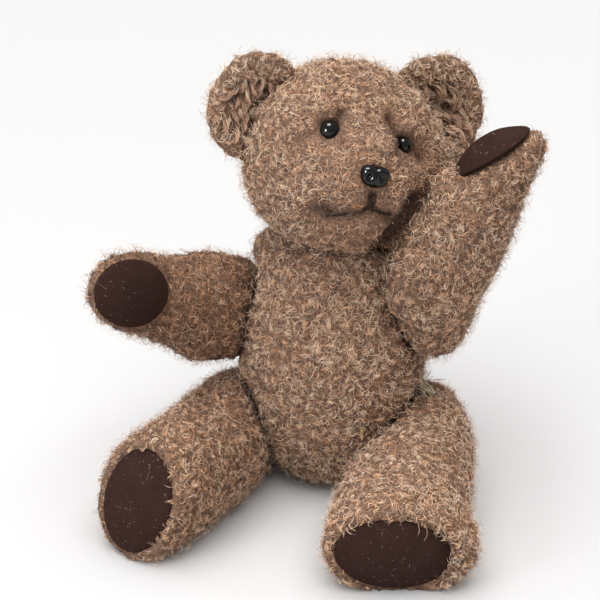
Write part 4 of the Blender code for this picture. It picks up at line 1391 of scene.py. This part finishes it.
class TEDDY_OT_stage(bpy.types.Operator):
    """Set up the floor, the lights and the camera"""

    bl_idname = "teddy.stage"
    bl_label = "Set Stage"

    def execute(self, context):
        stage = context.scene.teddy_stage
        shape = bmesh.new()
        bmesh.ops.create_grid(shape, x_segments=1, y_segments=1, size=8)
        mesh = bpy.data.meshes.new("floor")
        shape.to_mesh(mesh)
        shape.free()
        floor = new_object("floor", mesh)
        floor.location.z = CAD_BOX[0][2] - FLOOR_GAP
        mesh.materials.append(paper_material(stage))
        # Even light from wide parts of the sky, some degrees across, with no mirror image of its own
        for name, place, spread, energy, color in (
            ("overhead_softbox", (-0.02, -0.06, 1.0), 70, 3.75, (1.0, 0.99, 0.975)),
            ("front_window", (0.1, -1.0, 0.9), 60, 0.20, (1.0, 0.985, 0.97)),
        ):
            angle = math.radians(spread)
            self.add_light(name, "SUN", place, 0, angle=angle, energy=energy, color=color).visible_glossy = False
        # Round lights that face the chest; the two glints are only mirrored in the eyes and the nose
        for name, place, size, energy in (
            ("catchlight", (-0.70, -0.90, 0.60), 0.42, 4.0),
            ("eye_glint", (-0.72, -0.95, 0.50), 0.40, 14.0),
            ("nose_glint", (-0.12, -0.05, 1.1), 0.45, 8.0),
        ):
            light = self.add_light(name, "AREA", place, 0.12, shape="DISK", size=size, energy=energy)
            light.visible_diffuse = name == "catchlight"
        world = bpy.data.worlds.new("studio")
        world.use_nodes = True
        wire(world.node_tree.nodes["Background"], Color=(1.0, 0.995, 0.985, 1.0), Strength=0.45)
        context.scene.world = world
        context.scene.view_settings.view_transform = "Standard"
        self.add_camera(stage)
        return {"FINISHED"}

    def add_light(self, name, kind, place, height, **settings):
        """A light that faces the bear's middle line at a height."""
        light = new_object(name, put(bpy.data.lights.new(name, kind), **settings))
        light.location = place
        light.rotation_euler = (Vector((0, 0, height)) - Vector(place)).to_track_quat("-Z", "Y").to_euler()
        return light

    def add_camera(self, stage):
        azimuth, elevation = math.radians(12), math.radians(25)
        level = math.cos(elevation)
        back = Vector((math.sin(azimuth) * level, -math.cos(azimuth) * level, math.sin(elevation)))
        camera = new_object("camera", bpy.data.cameras.new("camera"))
        camera.data.lens = stage.lens
        camera.location = Vector((-0.0235, -0.005, 0.125)) + back * stage.distance
        camera.rotation_euler = (-back).to_track_quat("-Z", "Y").to_euler()
        bpy.context.scene.camera = camera


class TEDDY_PT_panel(bpy.types.Panel):
    """The bear's sizes, colours and steps"""

    bl_idname = "TEDDY_PT_panel"
    bl_label = "Teddy Bear"
    bl_space_type = "VIEW_3D"
    bl_region_type = "UI"
    bl_category = "Teddy"

    def draw(self, context):
        for group in GROUPS:
            settings = getattr(context.scene, group)
            box = self.layout.box()
            for name in settings.bl_rna.properties.keys():
                if name not in ("rna_type", "name"):
                    box.prop(settings, name)
        for operator in STEPS:
            self.layout.operator(operator.bl_idname)


GROUPS = {"teddy_plush": TEDDY_PG_plush, "teddy_trim": TEDDY_PG_trim, "teddy_stage": TEDDY_PG_stage}
STEPS = (
    TEDDY_OT_covers,
    TEDDY_OT_pile,
    TEDDY_OT_pads,
    TEDDY_OT_eyes,
    TEDDY_OT_nose,
    TEDDY_OT_mouth,
    TEDDY_OT_fastenings,
    TEDDY_OT_label,
    TEDDY_OT_stage,
)


def register():
    for made in (*GROUPS.values(), *STEPS, TEDDY_PT_panel):
        bpy.utils.register_class(made)
    for name, group in GROUPS.items():
        setattr(bpy.types.Scene, name, PointerProperty(type=group))


def unregister():
    for name in GROUPS:
        delattr(bpy.types.Scene, name)
    for made in reversed((*GROUPS.values(), *STEPS, TEDDY_PT_panel)):
        bpy.utils.unregister_class(made)


def main():
    register()
    bpy.ops.teddy.covers()
    bpy.ops.teddy.pile()
    bpy.ops.teddy.pads()
    bpy.ops.teddy.eyes()
    bpy.ops.teddy.nose()
    bpy.ops.teddy.mouth()
    bpy.ops.teddy.fastenings()
    bpy.ops.teddy.label()
    bpy.ops.teddy.stage()


if __name__ == "__main__":
    main()
